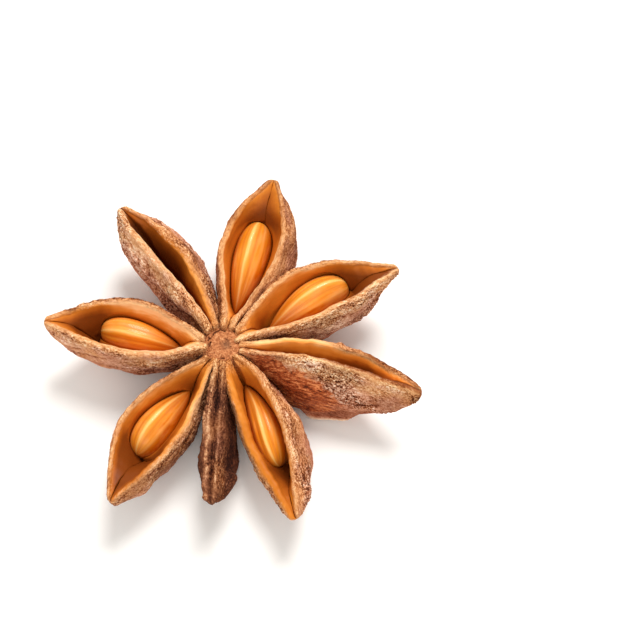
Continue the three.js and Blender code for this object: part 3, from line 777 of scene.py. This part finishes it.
class Finish:
    """A node material under construction. Each method adds nodes and returns their output."""

    def __init__(self, name):
        self.material = bpy.data.materials.new(name)
        self.material.use_nodes = True
        self.tree = self.material.node_tree
        self.surface = self.tree.nodes["Principled BSDF"]

    def put(self, socket, value):
        """Links another node's output to the socket, or sets it to a plain value."""
        if isinstance(value, bpy.types.NodeSocket):
            self.tree.links.new(value, socket)
        else:
            socket.default_value = value

    def feed(self, node, values):
        """Puts each value on the node's socket of that name."""
        for key, value in values.items():
            self.put(node.inputs[key], value)

    def mask(self, name):
        """A value that the piece's points carry."""
        node = self.tree.nodes.new("ShaderNodeAttribute")
        node.attribute_name = name
        return node.outputs["Fac"]

    def local(self, lengthwise, across):
        """The piece's own flat coordinates, with that many features to the millimetre."""
        node = self.tree.nodes.new("ShaderNodeAttribute")
        node.attribute_name = "local"
        mapping = self.tree.nodes.new("ShaderNodeMapping")
        scale = (lengthwise, across, across)
        self.feed(mapping, {"Vector": node.outputs["Vector"], "Scale": scale})
        return mapping.outputs["Vector"]

    def noise(self, lengthwise, across, detail=3.0, roughness=0.55, distortion=0.0):
        """Clouds from 0 to 1, with that many to the millimetre."""
        node = self.tree.nodes.new("ShaderNodeTexNoise")
        self.feed(node, {
            "Vector": self.local(lengthwise, across), "Scale": 1.0, "Detail": detail,
            "Roughness": roughness, "Distortion": distortion})
        return node.outputs["Fac"]

    def grain(self, *settings):
        """The same clouds made stronger, from -1 to 1."""
        return self.spread(self.noise(*settings), 0.3, 0.7, -1.0, 1.0)

    def math(self, operation, first, second=0.0):
        node = self.tree.nodes.new("ShaderNodeMath")
        node.operation = operation
        self.put(node.inputs[0], first)
        self.put(node.inputs[1], second)
        return node.outputs[0]

    def times(self, first, second):
        return self.math("MULTIPLY", first, second)

    def most(self, first, second):
        return self.math("MAXIMUM", first, second)

    def magnitude(self, value):
        return self.math("ABSOLUTE", value)

    def total(self, *values):
        result = values[0]
        for value in values[1:]:
            result = self.math("ADD", result, value)
        return result

    def weighed(self, values, weights):
        """The sum of the values that have a weight, each times it."""
        return self.total(*(self.times(values[key], weights[key]) for key in weights))

    def spread(self, value, low, high, to_low=0.0, to_high=1.0):
        """value taken from low..high to to_low..to_high, and held at the ends."""
        node = self.tree.nodes.new("ShaderNodeMapRange")
        self.feed(node, {
            "Value": value, "From Min": low, "From Max": high, "To Min": to_low,
            "To Max": to_high})
        return node.outputs["Result"]

    def ramp(self, value, stops):
        """The colour at that place in a palette."""
        node = self.tree.nodes.new("ShaderNodeValToRGB")
        self.feed(node, {"Fac": value})
        elements = node.color_ramp.elements
        while len(elements) < len(stops):
            elements.new(0.5)
        for element, (position, *colour) in zip(elements, stops):
            element.position = position
            element.color = paint(*colour)
        return node.outputs["Color"]

    def blend(self, share, first, second, kind="MIX"):
        """The first colour with that share of the second, or multiplied by it."""
        node = self.tree.nodes.new("ShaderNodeMix")
        node.data_type = "RGBA"
        node.blend_type = kind
        self.put(node.inputs[0], share)
        self.put(node.inputs[6], first)
        self.put(node.inputs[7], second)
        return node.outputs[2]

    def bump(self, height, strength, distance):
        """The surface's direction as if it stood out by the height times the distance."""
        node = self.tree.nodes.new("ShaderNodeBump")
        self.feed(node, {"Height": height, "Strength": strength, "Distance": distance})
        return node.outputs["Normal"]

    def finish(self, **inputs):
        """The material, once the surface has its values."""
        named = {key.replace("_", " "): value for key, value in inputs.items()}
        self.feed(self.surface, named)
        return self.material


def husk_finish():
    """Outside, each palette is read by how worn the skin is and by painted shade in its creases:
    its height, its paleness and the grains added up. Inside, the palettes are read by the depth
    below the lip, darker deeper down as painted shade. The outside and the inside meet at the lip."""
    f = Finish("dried_husk")
    height, lip, run = f.mask("height"), f.mask("lip"), f.mask("run")
    rust, pale, shut, rough = f.mask("rust"), f.mask("pale"), f.mask("shut"), f.mask("rough")
    grains = {key: f.grain(*settings) for key, settings in GRAINS.items()}
    flecks, specks = grains["flecks"], grains["specks"]
    winding = f.magnitude(f.total(f.noise(*WINDING), -0.5))
    grains["wrinkles"] = f.spread(winding, 0.0, 0.05, -1.0, 0.0)
    # how worn the skin is, with painted shade where its creases lie low: coarser where it is rough
    # and near the column, calmer at the lip
    crumbs = f.weighed(grains, CRUMBS)
    coarse = f.most(f.spread(rough, 0.0, 2.0, 0.35, 1.9), f.spread(run, 0.08, 0.25, 1.3, 0.0))
    calmer = f.spread(f.magnitude(f.total(lip, 0.1)), 0.1, 0.45, 0.5, 1.0)
    crumbs = f.times(f.times(crumbs, coarse), f.most(calmer, f.times(shut, 0.8)))
    wear_and_crease_shade = f.total(
        f.spread(height, 0.15, 1.0, 0.26, 0.74), crumbs, pale,
        f.times(grains["shades"], f.spread(rough, 0.0, 2.0, 0.08, 0.36)),
        f.spread(f.magnitude(f.total(lip, -0.02)), 0.0, 0.22, 0.16, 0.0))
    # outside: tan or rosy in patches, painted shade toward the keel, plum in tone, honey near the
    # lip and near the column
    patches = f.total(f.noise(*PATCHES), f.spread(lip, 1.0, 4.5, 0.0, 0.3))
    outside = f.blend(f.spread(patches, 0.45, 0.7), f.ramp(wear_and_crease_shade, TAN), f.ramp(wear_and_crease_shade, ROSY))
    shaded = f.spread(lip, 2.0, 6.0, 0.0, 0.55)
    outside = f.blend(shaded, outside, paint(*SHADOW), "MULTIPLY")
    outside = f.blend(f.mask("tone"), outside, f.ramp(wear_and_crease_shade, PLUM))
    near_lip = f.spread(f.total(f.magnitude(lip), f.times(flecks, 0.2)), 0.1, 0.5, 0.7, 0.0)
    near_lip = f.times(near_lip, f.total(1.0, f.times(shut, -1.0)))
    ragged_run = f.total(run, f.times(flecks, 0.03))
    near_column = f.spread(ragged_run, 0.05, 0.22, 0.9, 0.0)
    honey = f.ramp(wear_and_crease_shade, HONEY)
    outside = f.blend(f.most(near_lip, near_column), outside, honey)
    bared = f.total(f.weighed(grains, BARED), 0.5)
    outside = f.blend(rust, outside, f.ramp(bared, RUSTY))
    # rubbed pale skin, and the fin's crest painted pale as a highlight
    outside = f.blend(f.spread(pale, 0.7, 1.2), outside, paint(*RUBBED_AND_HIGHLIGHT))
    # inside: darker with depth as painted shade, fiery or not, painted with the light a seed
    # beside it would bounce, and rough near the column
    depth = f.times(f.times(lip, f.spread(run, 0.45, 0.8, -0.22, -0.75)), f.mask("deep"))
    clouds = f.times(f.total(f.noise(*CLOUDS), -0.5), 0.25)
    depth = f.total(depth, f.mask("amber"), f.times(f.grain(*STREAKS), 0.04), clouds)
    inside = f.blend(f.mask("vivid"), f.ramp(depth, LINING), f.ramp(depth, VIVID))
    inside = f.blend(f.times(f.mask("close"), 0.75), inside, paint(*PAINTED_SEED_BOUNCE))
    inside = f.blend(f.spread(ragged_run, 0.03, 0.11, 0.8, 0.0), inside, honey)
    # the lip between them, with a ragged edge, and painted shade in the seam of the floor
    edge = f.total(lip, f.times(flecks, 0.08), f.times(specks, 0.05))
    skin = f.most(f.spread(edge, -0.5, -0.05), shut)
    colour = f.blend(skin, inside, outside)
    colour = f.blend(f.times(f.mask("seam"), 0.7), colour, paint(*FLOOR_SEAM_SHADE))
    relief = f.times(f.weighed(grains, BUMPS), f.spread(skin, 0.0, 1.0, 0.06, 1.0))
    dullness = f.total(f.spread(skin, 0.0, 1.0, 0.42, 0.86), f.times(rust, -0.3))
    return f.finish(
        Base_Color=colour, Roughness=dullness, Normal=f.bump(relief, 0.7, 0.00007),
        Specular_IOR_Level=0.1)


# ============================================================================ carpels: making
# The eight carpels as they grew, dried and were rubbed: of one woody flesh and fused at their
# inner ends to the column, but each with its own tone, wrinkles, knobs and bare places. Each is
# one skin round its part of the solid husk.

# On the skin, dark is how plum it is, pale how rubbed, rough how crumpled, coarser how much more
# so on each side, slant how its wrinkles run, rust how bare its lower flank is and flange the
# fin under that. The lining is painted darker with depth as shade in the chamber: deep is how soon
# it darkens, amber how dark that painted shade starts, vivid how fiery it is, and lined how far
# out past the lip it begins, so that on some lips the lining's painted shade reaches over the
# lip's top. Each is a pair, at the column and at the tip, or such a pair for each side. Shut marks
# the one that never opened. Parted is a place along, a side, how much further out the lip stands
# there, and over what length. A lump is a place along, a side, a distance from the lip, a height,
# a length, a width and a tint. A fold is a place along, a side, a distance from the lip, a length,
# a slant, a depth and a width. A ridge is a side, a distance from the lip, a height and a width.
CHARACTER = {
    "west": dict(
        dark=0.0, pale=0.1, rough=1.0, coarser=(1, 1.9), slant=25, deep=(1.5, 0.9),
        amber=(-0.2, 0),
        lumps=[
            (0.5, -1, 0.5, 0.0, 7.0, 0.9, -0.42), (0.85, 1, 1.6, 0.22, 0.8, 0.9, 0.05),
            (0.62, 1, 3.2, 0.2, 1.2, 1.2, 0.0), (0.3, 1, 3.6, -0.2, 2.6, 1.0, -0.12)],
        folds=[
            (0.68, 1, 2.2, 1.6, 25, 0.16, 0.14), (0.6, 1, 3.2, 1.4, 20, 0.16, 0.14),
            (0.3, 1, 1.6, 2.6, -4, 0.1, 0.14), (0.8, 1, 2.2, 0.8, 40, 0.14, 0.12)]),
    "northwest": dict(
        dark=-0.1, pale=0.16, rough=1.4, slant=-50, deep=(0.9, 0.5),
        amber={1: (0.03, 0.45), -1: (0.06, 0.45)}, lined={1: (-0.4, -0.4), -1: (0.28, 0.1)},
        lumps=[
            (0.15, -1, 2.6, 0.5, 1.6, 1.3, -0.2), (0.5, -1, 1.2, 0.0, 8.0, 1.6, -0.24),
            (0.35, -1, 0.0, 0.0, 5.0, 0.4, -0.2), (0.31, 1, 1.3, 0.45, 1.6, 0.8, 0.1),
            (0.17, 1, 2.4, -0.45, 1.8, 0.9, -0.3), (0.62, 1, 2.0, 0.25, 3.2, 0.5, 0.05),
            (0.5, 1, 3.3, -0.3, 2.4, 0.8, -0.15), (0.55, -1, 0.9, 0.15, 2.2, 0.5, -0.05)],
        folds=[
            (0.62, 1, 2.4, 1.1, -50, 0.3, 0.16), (0.55, 1, 2.2, 1.2, -55, 0.26, 0.16),
            (0.47, 1, 2.6, 1.2, -45, 0.28, 0.16), (0.36, 1, 2.2, 1.0, 30, 0.2, 0.14),
            (0.4, 1, 1.4, 1.4, -30, 0.14, 0.12), (0.78, 1, 1.4, 1.8, -10, 0.12, 0.12)]),
    "north": dict(
        dark=0.05, pale=-0.05, rough=0.3, deep={1: (1.25, 0.6), -1: (0.75, 0.55)},
        amber=(-0.03, 0.05), lumps=[(0.13, 1, 2.6, 0.5, 1.6, 1.3, -0.25)]),
    "northeast": dict(
        dark=0.1, pale=0.1, rough=1.2, slant=12, deep={1: (1.3, 0.7), -1: (1.3, 1.4)},
        amber={1: (0.0, 0.14), -1: (0.0, 0.9)},
        lumps=[
            (0.75, -1, 1.2, 0.0, 3.0, 0.8, 0.1), (0.5, 1, 0.5, 0.0, 7.0, 0.7, -0.2),
            (0.3, -1, 2.0, -0.2, 3.0, 0.8, -0.2), (0.85, -1, 2.6, -0.2, 2.0, 1.0, -0.15),
            (0.52, -1, 2.2, 0.1, 2.4, 0.7, 0.26), (0.2, -1, 1.4, 0.0, 1.8, 0.8, -0.2),
            (0.45, -1, 1.2, 0.0, 2.8, 0.8, 0.2), (0.85, 1, -2.0, 0.0, 2.5, 1.2, -0.1)],
        folds=[
            (0.4, -1, 1.5, 3.4, 2, 0.2, 0.18), (0.62, -1, 1.9, 2.4, 12, 0.16, 0.16),
            (0.78, -1, 1.2, 1.6, 10, 0.12, 0.14)]),
    "east": dict(
        dark=0.1, pale=0.08, rough=1.5, slant=-20, rust=1.0, flange=1.0, deep=(1.1, 0.8),
        amber={1: (-0.09, -0.03), -1: (0.9, 0.9)}, vivid={1: (0.9, 0.7)},
        lined={1: (0.45, -0.25), -1: (0.0, 0.42)}, parted=[(0.32, -1, 0.42, 3.2)],
        lumps=[
            (0.4, -1, 1.0, 0.0, 5.0, 0.9, 0.12), (0.52, 1, 0.5, 0.4, 0.5, 0.35, 0.1),
            (0.74, -1, 6.2, -0.45, 1.0, 1.2, -0.1), (0.92, 1, 0.6, 0.15, 0.8, 0.4, 0.1),
            (0.8, 1, 0.0, 0.0, 4.0, 0.7, -0.4), (0.95, -1, 2.0, 0.0, 2.5, 1.5, -0.1)],
        folds=[(0.3, -1, 0.7, 3.0, 4, 0.1, 0.12), (0.75, -1, 3.6, 1.2, -20, 0.14, 0.14)]),
    "southeast": dict(
        dark=-0.1, rough=1.2, slant=10, deep=(0.7, 0.4), amber=(0.2, 0.14),
        lined={-1: (0.6, 0.55)},
        lumps=[(0.88, 1, 1.8, 0.3, 0.9, 0.8, 0.0), (0.9, -1, 1.5, 0.15, 1.2, 0.6, -0.1)],
        folds=[(0.35, 1, 1.2, 3.0, 4, 0.14, 0.12), (0.84, 1, 1.0, 1.2, 25, 0.14, 0.12)]),
    "south": dict(
        dark=0.85, pale=-0.12, rough=0.65, slant=5, shut=1.0,
        lumps=[
            (0.76, 1, 2.8, 0.7, 0.9, 0.8, 0.2), (0.55, 1, 2.4, -0.15, 5.0, 0.9, -0.32),
            (1.0, 1, 1.5, -0.9, 0.7, 0.8, -0.1), (0.9, -1, 2.0, -0.4, 1.8, 1.5, 0.0),
            (0.5, -1, 0.6, 0.0, 7.0, 0.9, 0.2), (0.95, 1, 2.2, -0.4, 1.2, 0.9, 0.0)],
        ridges=[(-1, 0.05, 0.22, 0.26), (1, 0.05, 0.15, 0.17), (-1, 1.5, 0.1, 0.2)]),
    "southwest": dict(
        dark=0.3, rough=1.0, deep=(1.6, 1.5), lined={1: (0.4, 0.3)},
        lumps=[(0.8, 1, 2.4, 0.25, 1.8, 0.9, 0.0), (0.45, 1, 2.6, 0.3, 4.0, 1.4, -0.15)],
        folds=[(0.5, 1, 1.4, 3.0, 3, 0.14, 0.12)]),
}

HUSK = husk_finish()

for number, (name, form) in enumerate(CARPELS.items()):
    carpel = form | CHARACTER[name]
    grid = carpel_grid(carpel, SEEDS.get(name), number)
    relief, masks = carpel_relief(carpel, grid)
    points = grid["points"] + grid_normals(grid["points"]) * (relief * grid["close"])[..., None]
    points[..., 2] = np.maximum(points[..., 2], 0.0)
    piece = skin_mesh(f"carpel_{name}", points, grid["local"], masks)
    piece.data.materials.append(HUSK)
    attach(piece, "root")
    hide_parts("husk")

# ============================================================================ column
# The short stem that the carpels grow from: a rough disc on top, fibrous and a little hollow in
# its middle, a collar in the corners between the carpels, and below it the stub of the stalk.

# Its outline is a radius and a height at each corner, from the stub to the disc's middle.
COLUMN = np.array([
    [0.02, 0.9], [0.6, 0.85], [1.0, 0.95], [1.1, 1.6], [1.6, 1.9], [2.8, 2.8], [3.0, 4.2],
    [2.4, 5.6], [1.95, 6.45], [1.65, 6.8], [1.1, 6.95], [0.45, 6.9], [0.02, 6.82]])
COLUMN_ROWS = 200
COLUMN_SIDES = 240
DISC = (5.8, 6.6)
RAYS = dict(radius=1.4, slope=0.3, begin=(0.1, 0.4))
DIMPLE = dict(x=0.4, y=-0.05, radius=0.45, depth=0.14)
RING = dict(
    x=0.15, y=0.0, radius=1.5, width=0.08, depth=0.25, warp=0.2, uneven=0.12, gaps=(-0.2, 0.3))
COLUMN_RELIEF = dict(lumps=0.1, fibres=0.035, grit=0.035)
COLUMN_LEVEL = dict(usual=0.52, fibres=0.18, grit=0.25, dimple=0.25)
FIBRES_WARP = 0.15
FIBRES_MIDDLE = 1.2
SMOOTH_AT_AXIS = (0.0, 0.15)
COLUMN_TEXTURES = {
    "warp": ((0.7, 0.7, 0.7), 61),
    "fibres": ((0.34, 0.2, 0.34), 62),
    "grit": ((0.16, 0.16, 0.2), 63),
    "ring": ((0.35, 0.35, 5), 64),
    "gaps": ((0.7, 0.7, 5), 65),
    "rays": ((0.24, 0.24, 0.5), 66),
}
DISC_PALETTE = ((0.0, 78, 37, 16), (0.25, 146, 82, 43), (0.55, 194, 120, 72), (1.0, 236, 176, 122))
COLLAR_PALETTE = ((0.0, 30, 15, 10), (0.5, 84, 48, 34), (0.95, 140, 92, 66))
DIMPLE_COLOUR = (134, 92, 64)
COLUMN_SPECKS = (7.0, 7.0, 3.0, 0.65)
COLUMN_FLECKS = (3.0, 3.0, 2.0)


def column_skin():
    """The outline swept round the axis, with its radius and height stepped evenly along its
    length, and pushed out by lumps, fibres and rays. A ragged crack runs round the disc, where
    the carpels' ends stand against it, and the dimple is a bell."""
    length = np.concatenate([[0], np.cumsum(np.linalg.norm(np.diff(COLUMN, axis=0), axis=1))])
    run = np.linspace(0, length[-1], COLUMN_ROWS)
    radius = np.interp(run, length, COLUMN[:, 0])[:, None]
    height = np.interp(run, length, COLUMN[:, 1])[:, None]
    turn = np.linspace(0, 2 * np.pi, COLUMN_SIDES, endpoint=False)[None]
    x, y = np.cos(turn), np.sin(turn)
    flat = np.stack(np.broadcast_arrays(radius * x, radius * y, height), -1)
    top = smooth(*DISC, height) + 0 * turn
    warp = hills(flat, *COLUMN_TEXTURES["warp"])
    fibres = creases(flat + FIBRES_WARP * warp[..., None], *COLUMN_TEXTURES["fibres"])
    grit = hills(flat, *COLUMN_TEXTURES["grit"])
    around = [RAYS["radius"] * x, RAYS["radius"] * y, RAYS["slope"] * radius]
    around = np.stack(np.broadcast_arrays(*around), -1)
    rays = creases(around, *COLUMN_TEXTURES["rays"]) * smooth(*RAYS["begin"], radius)
    ring = np.hypot(flat[..., 0] - RING["x"], flat[..., 1] - RING["y"]) + RING["warp"] * warp
    ring = ring + RING["uneven"] * hills(flat, *COLUMN_TEXTURES["ring"])
    cracks = bell(ring - RING["radius"], RING["width"]) * top
    cracks = cracks * smooth(*RING["gaps"], hills(flat, *COLUMN_TEXTURES["gaps"]))
    from_dimple = np.hypot(flat[..., 0] - DIMPLE["x"], flat[..., 1] - DIMPLE["y"])
    dimple = bell(from_dimple, DIMPLE["radius"]) * top
    relief = COLUMN_RELIEF["lumps"] * warp + COLUMN_RELIEF["grit"] * grit
    relief = relief + COLUMN_RELIEF["fibres"] * (fibres + rays - FIBRES_MIDDLE)
    relief = relief - RING["depth"] * cracks - DIMPLE["depth"] * dimple
    relief = relief * smooth(*SMOOTH_AT_AXIS, radius)
    points = flat + grid_normals(flat) * relief[..., None] + AXIS
    level = COLUMN_LEVEL["usual"] + COLUMN_LEVEL["fibres"] * (fibres + rays)
    level = level + COLUMN_LEVEL["grit"] * grit - cracks - COLUMN_LEVEL["dimple"] * dimple
    return points, flat, {"height": np.clip(level, 0, 1), "top": top, "dimple": dimple}


def column_finish():
    """The disc's palette on top and the collar's below, read by height, with painted shade in the
    creases of the fibres and rays, and by specks and flecks.
    """
    f = Finish("column")
    specks, flecks = f.grain(*COLUMN_SPECKS), f.grain(*COLUMN_FLECKS)
    height = f.spread(f.mask("height"), 0.0, 1.0, 0.0, 0.7)
    # how worn the disc is, with painted shade in the creases of its fibres and rays
    wear_and_crease_shade = f.total(height, f.times(specks, 0.22), f.times(flecks, 0.14))
    colour = f.blend(f.mask("top"), f.ramp(wear_and_crease_shade, COLLAR_PALETTE), f.ramp(wear_and_crease_shade, DISC_PALETTE))
    colour = f.blend(f.times(f.mask("dimple"), 0.65), colour, paint(*DIMPLE_COLOUR))
    return f.finish(
        Base_Color=colour, Roughness=0.88, Normal=f.bump(f.total(specks, flecks), 0.5, 0.00005),
        Specular_IOR_Level=0.3)


points, local, masks = column_skin()
column = skin_mesh("column", points, local, masks)
column.data.materials.append(column_finish())
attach(column, "root")
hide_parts("husk")

# ============================================================================ seeds
# Hard, polished, amber seeds that lie loose in their chambers: pointed at the inner end, round
# at the outer end, with a blunt ridge along the top, a groove beside it and pale streaks.
SEED_ROWS = 160
SEED_SIDES = 140
RIDGE = dict(width=0.2, height=0.045)
SEED_GROOVE = dict(place=0.4, width=0.16, depth=0.03)
FLUTES = dict(height=0.015, size=(4, 0.6, 0.6), number=71)
RIDGE_ENDS = ((0, 0.25), (1, 0.8))
OWN_SEED_STRETCH = 30
SEED_LENGTH = 8
SEED_RADIUS = 2
# The coat's palette by the angle from the top: paler on top and darker down the flanks, painted
# shade.
COAT = ((0.0, 236, 152, 48), (0.25, 224, 130, 26), (0.45, 200, 100, 8), (0.7, 190, 86, 4),
        (1.0, 202, 94, 8))
COAT_CLOUD = (240, 166, 96)
COAT_GROOVE = (200, 98, 24)
COAT_SHEEN = (255, 200, 116)
COAT_RIDGE = (254, 212, 128)
COAT_HAIR = (196, 98, 30)
COAT_POINT = (158, 70, 2)
COAT_STREAKS = (0.3, 2.0, 2.0)
COAT_HAIRS = (0.5, 9.0, 2.0)
COAT_CLOUDS = (0.6, 1.2, 2.0)


def seed_skin(carpel, seed, number):
    """Rings along the seed's length, each an oval that is a little higher along the top ridge
    and lower in the grooves beside it, both bells of the angle from the top."""
    u = (1 - np.cos(np.pi * np.linspace(0, 1, SEED_ROWS)))[:, None] / 2
    turn = np.linspace(0, 2 * np.pi, SEED_SIDES, endpoint=False)[None]
    x, y = np.cos(turn), np.sin(turn)
    s = seed["start"] + (seed["stop"] - seed["start"]) * u
    _, aside, level, wide, high = seed_oval(carpel, seed, s)
    rolled = np.radians(seed.get("rolled", 0))
    from_top = np.angle(np.exp(1j * (turn - np.pi / 2 + rolled))) + 0 * u
    ridge = RIDGE["height"] * bell(from_top, RIDGE["width"])
    groove = bell(np.abs(from_top) - SEED_GROOVE["place"], SEED_GROOVE["width"])
    around = [u * SEED_LENGTH + OWN_SEED_STRETCH * number, x * SEED_RADIUS, y * SEED_RADIUS]
    around = np.stack(np.broadcast_arrays(*around), -1)
    flutes = FLUTES["height"] * hills(around, FLUTES["size"], FLUTES["number"])
    pull = ridge - SEED_GROOVE["depth"] * groove + flutes
    pull = 1 + pull * smooth(*RIDGE_ENDS[0], u) * smooth(*RIDGE_ENDS[1], u)
    points = place(carpel, s, aside + wide * x * pull, level + high * y * pull)
    return points, around, {"along": u + 0 * turn, "from_top": from_top}


def seed_finish():
    """The coat's palette read by the angle from the top, darker down the flanks as painted shade,
    with clouds, the groove, the sheen below it, the ridge, fine hairs and the darker point laid
    over it."""
    f = Finish("seed_coat")
    from_top = f.mask("from_top")
    streaks, hairs = f.grain(*COAT_STREAKS), f.grain(*COAT_HAIRS)
    clouds = f.spread(f.noise(*COAT_CLOUDS), 0.45, 0.65)
    away = f.magnitude(f.total(from_top, f.times(streaks, 0.05)))
    ridge = f.spread(away, 0.03, 0.13, 1.0, 0.0)
    groove = f.spread(f.magnitude(f.total(away, -0.36)), 0.0, 0.13, 1.0, 0.0)
    sheen = f.spread(f.magnitude(f.total(away, -0.75)), 0.0, 0.14, 1.0, 0.0)
    # painted shade down the seed's flanks, by the angle from the top
    shade = f.total(f.times(f.magnitude(from_top), 0.36), f.times(streaks, 0.16))
    colour = f.ramp(shade, COAT)
    colour = f.blend(f.times(clouds, 0.35), colour, paint(*COAT_CLOUD))
    colour = f.blend(f.times(groove, 0.5), colour, paint(*COAT_GROOVE))
    colour = f.blend(f.times(sheen, 0.3), colour, paint(*COAT_SHEEN))
    colour = f.blend(f.times(ridge, 0.55), colour, paint(*COAT_RIDGE))
    colour = f.blend(f.spread(hairs, 0.3, 1.0, 0.0, 0.3), colour, paint(*COAT_HAIR))
    colour = f.blend(f.spread(f.mask("along"), 0.0, 0.5, 0.85, 0.0), colour, paint(*COAT_POINT))
    return f.finish(
        Base_Color=colour, Roughness=0.34, Specular_IOR_Level=0.24, Coat_Weight=0.12,
        Coat_Roughness=0.08, Subsurface_Weight=0.12, Subsurface_Scale=0.0006,
        Subsurface_Radius=(1.0, 0.45, 0.15), Normal=f.bump(hairs, 0.1, 0.00004))


SEED_COAT = seed_finish()
for number, (name, seed) in enumerate(SEEDS.items()):
    points, local, masks = seed_skin(CARPELS[name], seed, number)
    piece = skin_mesh(f"seed_{name}_coat", points, local, masks)
    piece.data.materials.append(SEED_COAT)
    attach(piece, "root")
    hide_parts(f"seed_{name}")

# ============================================================================ floor
# A plain white sheet under the pod, in metres.
FLOOR_SIZE = 4.0
FLOOR_COLOUR = (250, 248, 244)


def plain_sheet(name, size, height):
    """A square of the given size, flat at that height."""
    half = size / 2
    square = ((-half, -half), (half, -half), (half, half), (-half, half))
    mesh = bpy.data.meshes.new(name)
    mesh.from_pydata([(x, y, height) for x, y in square], [], [(0, 1, 2, 3)])
    piece = bpy.data.objects.new(name, mesh)
    bpy.context.scene.collection.objects.link(piece)
    return piece


floor = plain_sheet("floor", FLOOR_SIZE, 0.0)
paper = Finish("paper")
floor.data.materials.append(paper.finish(
    Base_Color=paint(*FLOOR_COLOUR), Roughness=0.9, Specular_IOR_Level=0.2))

# ============================================================================ light
# A large soft light behind and above the pod, a weaker one at the front, and white surroundings.
COLUMN_TOP = (AXIS + np.array([0, 0, RIM_HEIGHT])) * MM
SURROUNDINGS = (1.0, 0.995, 0.98, 1)
SURROUNDINGS_STRENGTH = 0.65


def soft_light(name, azimuth, elevation, distance, size, power, colour):
    """A round lamp of that size, that far from the column's top and facing it."""
    a, e = np.radians(azimuth), np.radians(elevation)
    way = Vector((np.cos(e) * np.cos(a), np.cos(e) * np.sin(a), np.sin(e)))
    lamp = bpy.data.lights.new(name, "AREA")
    lamp.shape = "DISK"
    lamp.size = size
    lamp.energy = power
    lamp.color = colour
    holder = bpy.data.objects.new(name, lamp)
    turn = way.to_track_quat("Z", "Y").to_matrix().to_4x4()
    holder.matrix_world = Matrix.Translation(Vector(COLUMN_TOP) + way * distance) @ turn
    bpy.context.scene.collection.objects.link(holder)


soft_light(
    "key", azimuth=70, elevation=60, distance=0.4, size=0.2, power=1.45, colour=(1, 1, 1))
soft_light(
    "front", azimuth=-95, elevation=48, distance=0.5, size=0.35, power=0.7,
    colour=(1.0, 0.98, 0.95))
world = bpy.data.worlds.new("surroundings")
world.use_nodes = True
background = world.node_tree.nodes["Background"]
background.inputs["Color"].default_value = SURROUNDINGS
background.inputs["Strength"].default_value = SURROUNDINGS_STRENGTH
bpy.context.scene.world = world
bpy.context.scene.view_settings.view_transform = "Standard"

# ============================================================================ camera
# It looks down on the pod from the front, and sees it left of the middle of the frame. A pixel
# is in millimetres at the column's top, which stands at that pixel of the frame.
PIXEL = 0.0957
FRAME_PIXELS = 640
ELEVATION = 65
LENS = 100
SENSOR = 36
CLIP_START = 0.01
COLUMN_PIXEL = (222, 344)
COLUMN_TOP_BELOW_RIM = 0.1


def make_camera():
    """The camera stands as far back as makes the frame that many pixels wide at its target, and
    the target is as far from the column's top as the frame's middle is from the top's pixel."""
    e = np.radians(ELEVATION)
    right = np.array([1, 0, 0])
    up = np.array([0, np.sin(e), np.cos(e)])
    back = np.array([0, -np.cos(e), np.sin(e)])
    centre = FRAME_PIXELS / 2
    target = AXIS + np.array([0, 0, RIM_HEIGHT - COLUMN_TOP_BELOW_RIM])
    target = target + PIXEL * (centre - COLUMN_PIXEL[0]) * right
    target = target + PIXEL * (COLUMN_PIXEL[1] - centre) * up
    distance = FRAME_PIXELS * PIXEL * LENS / SENSOR
    data = bpy.data.cameras.new("camera")
    data.lens = LENS
    data.sensor_width = SENSOR
    data.clip_start = CLIP_START
    camera = bpy.data.objects.new("camera", data)
    turn = Matrix((right, up, back)).transposed().to_4x4()
    camera.matrix_world = Matrix.Translation(Vector((target + distance * back) * MM)) @ turn
    bpy.context.scene.collection.objects.link(camera)
    bpy.context.scene.camera = camera


make_camera()


def corners(box):
    """A box's lowest and highest corners as plain lists of numbers."""
    return [[float(value) for value in corner] for corner in box]
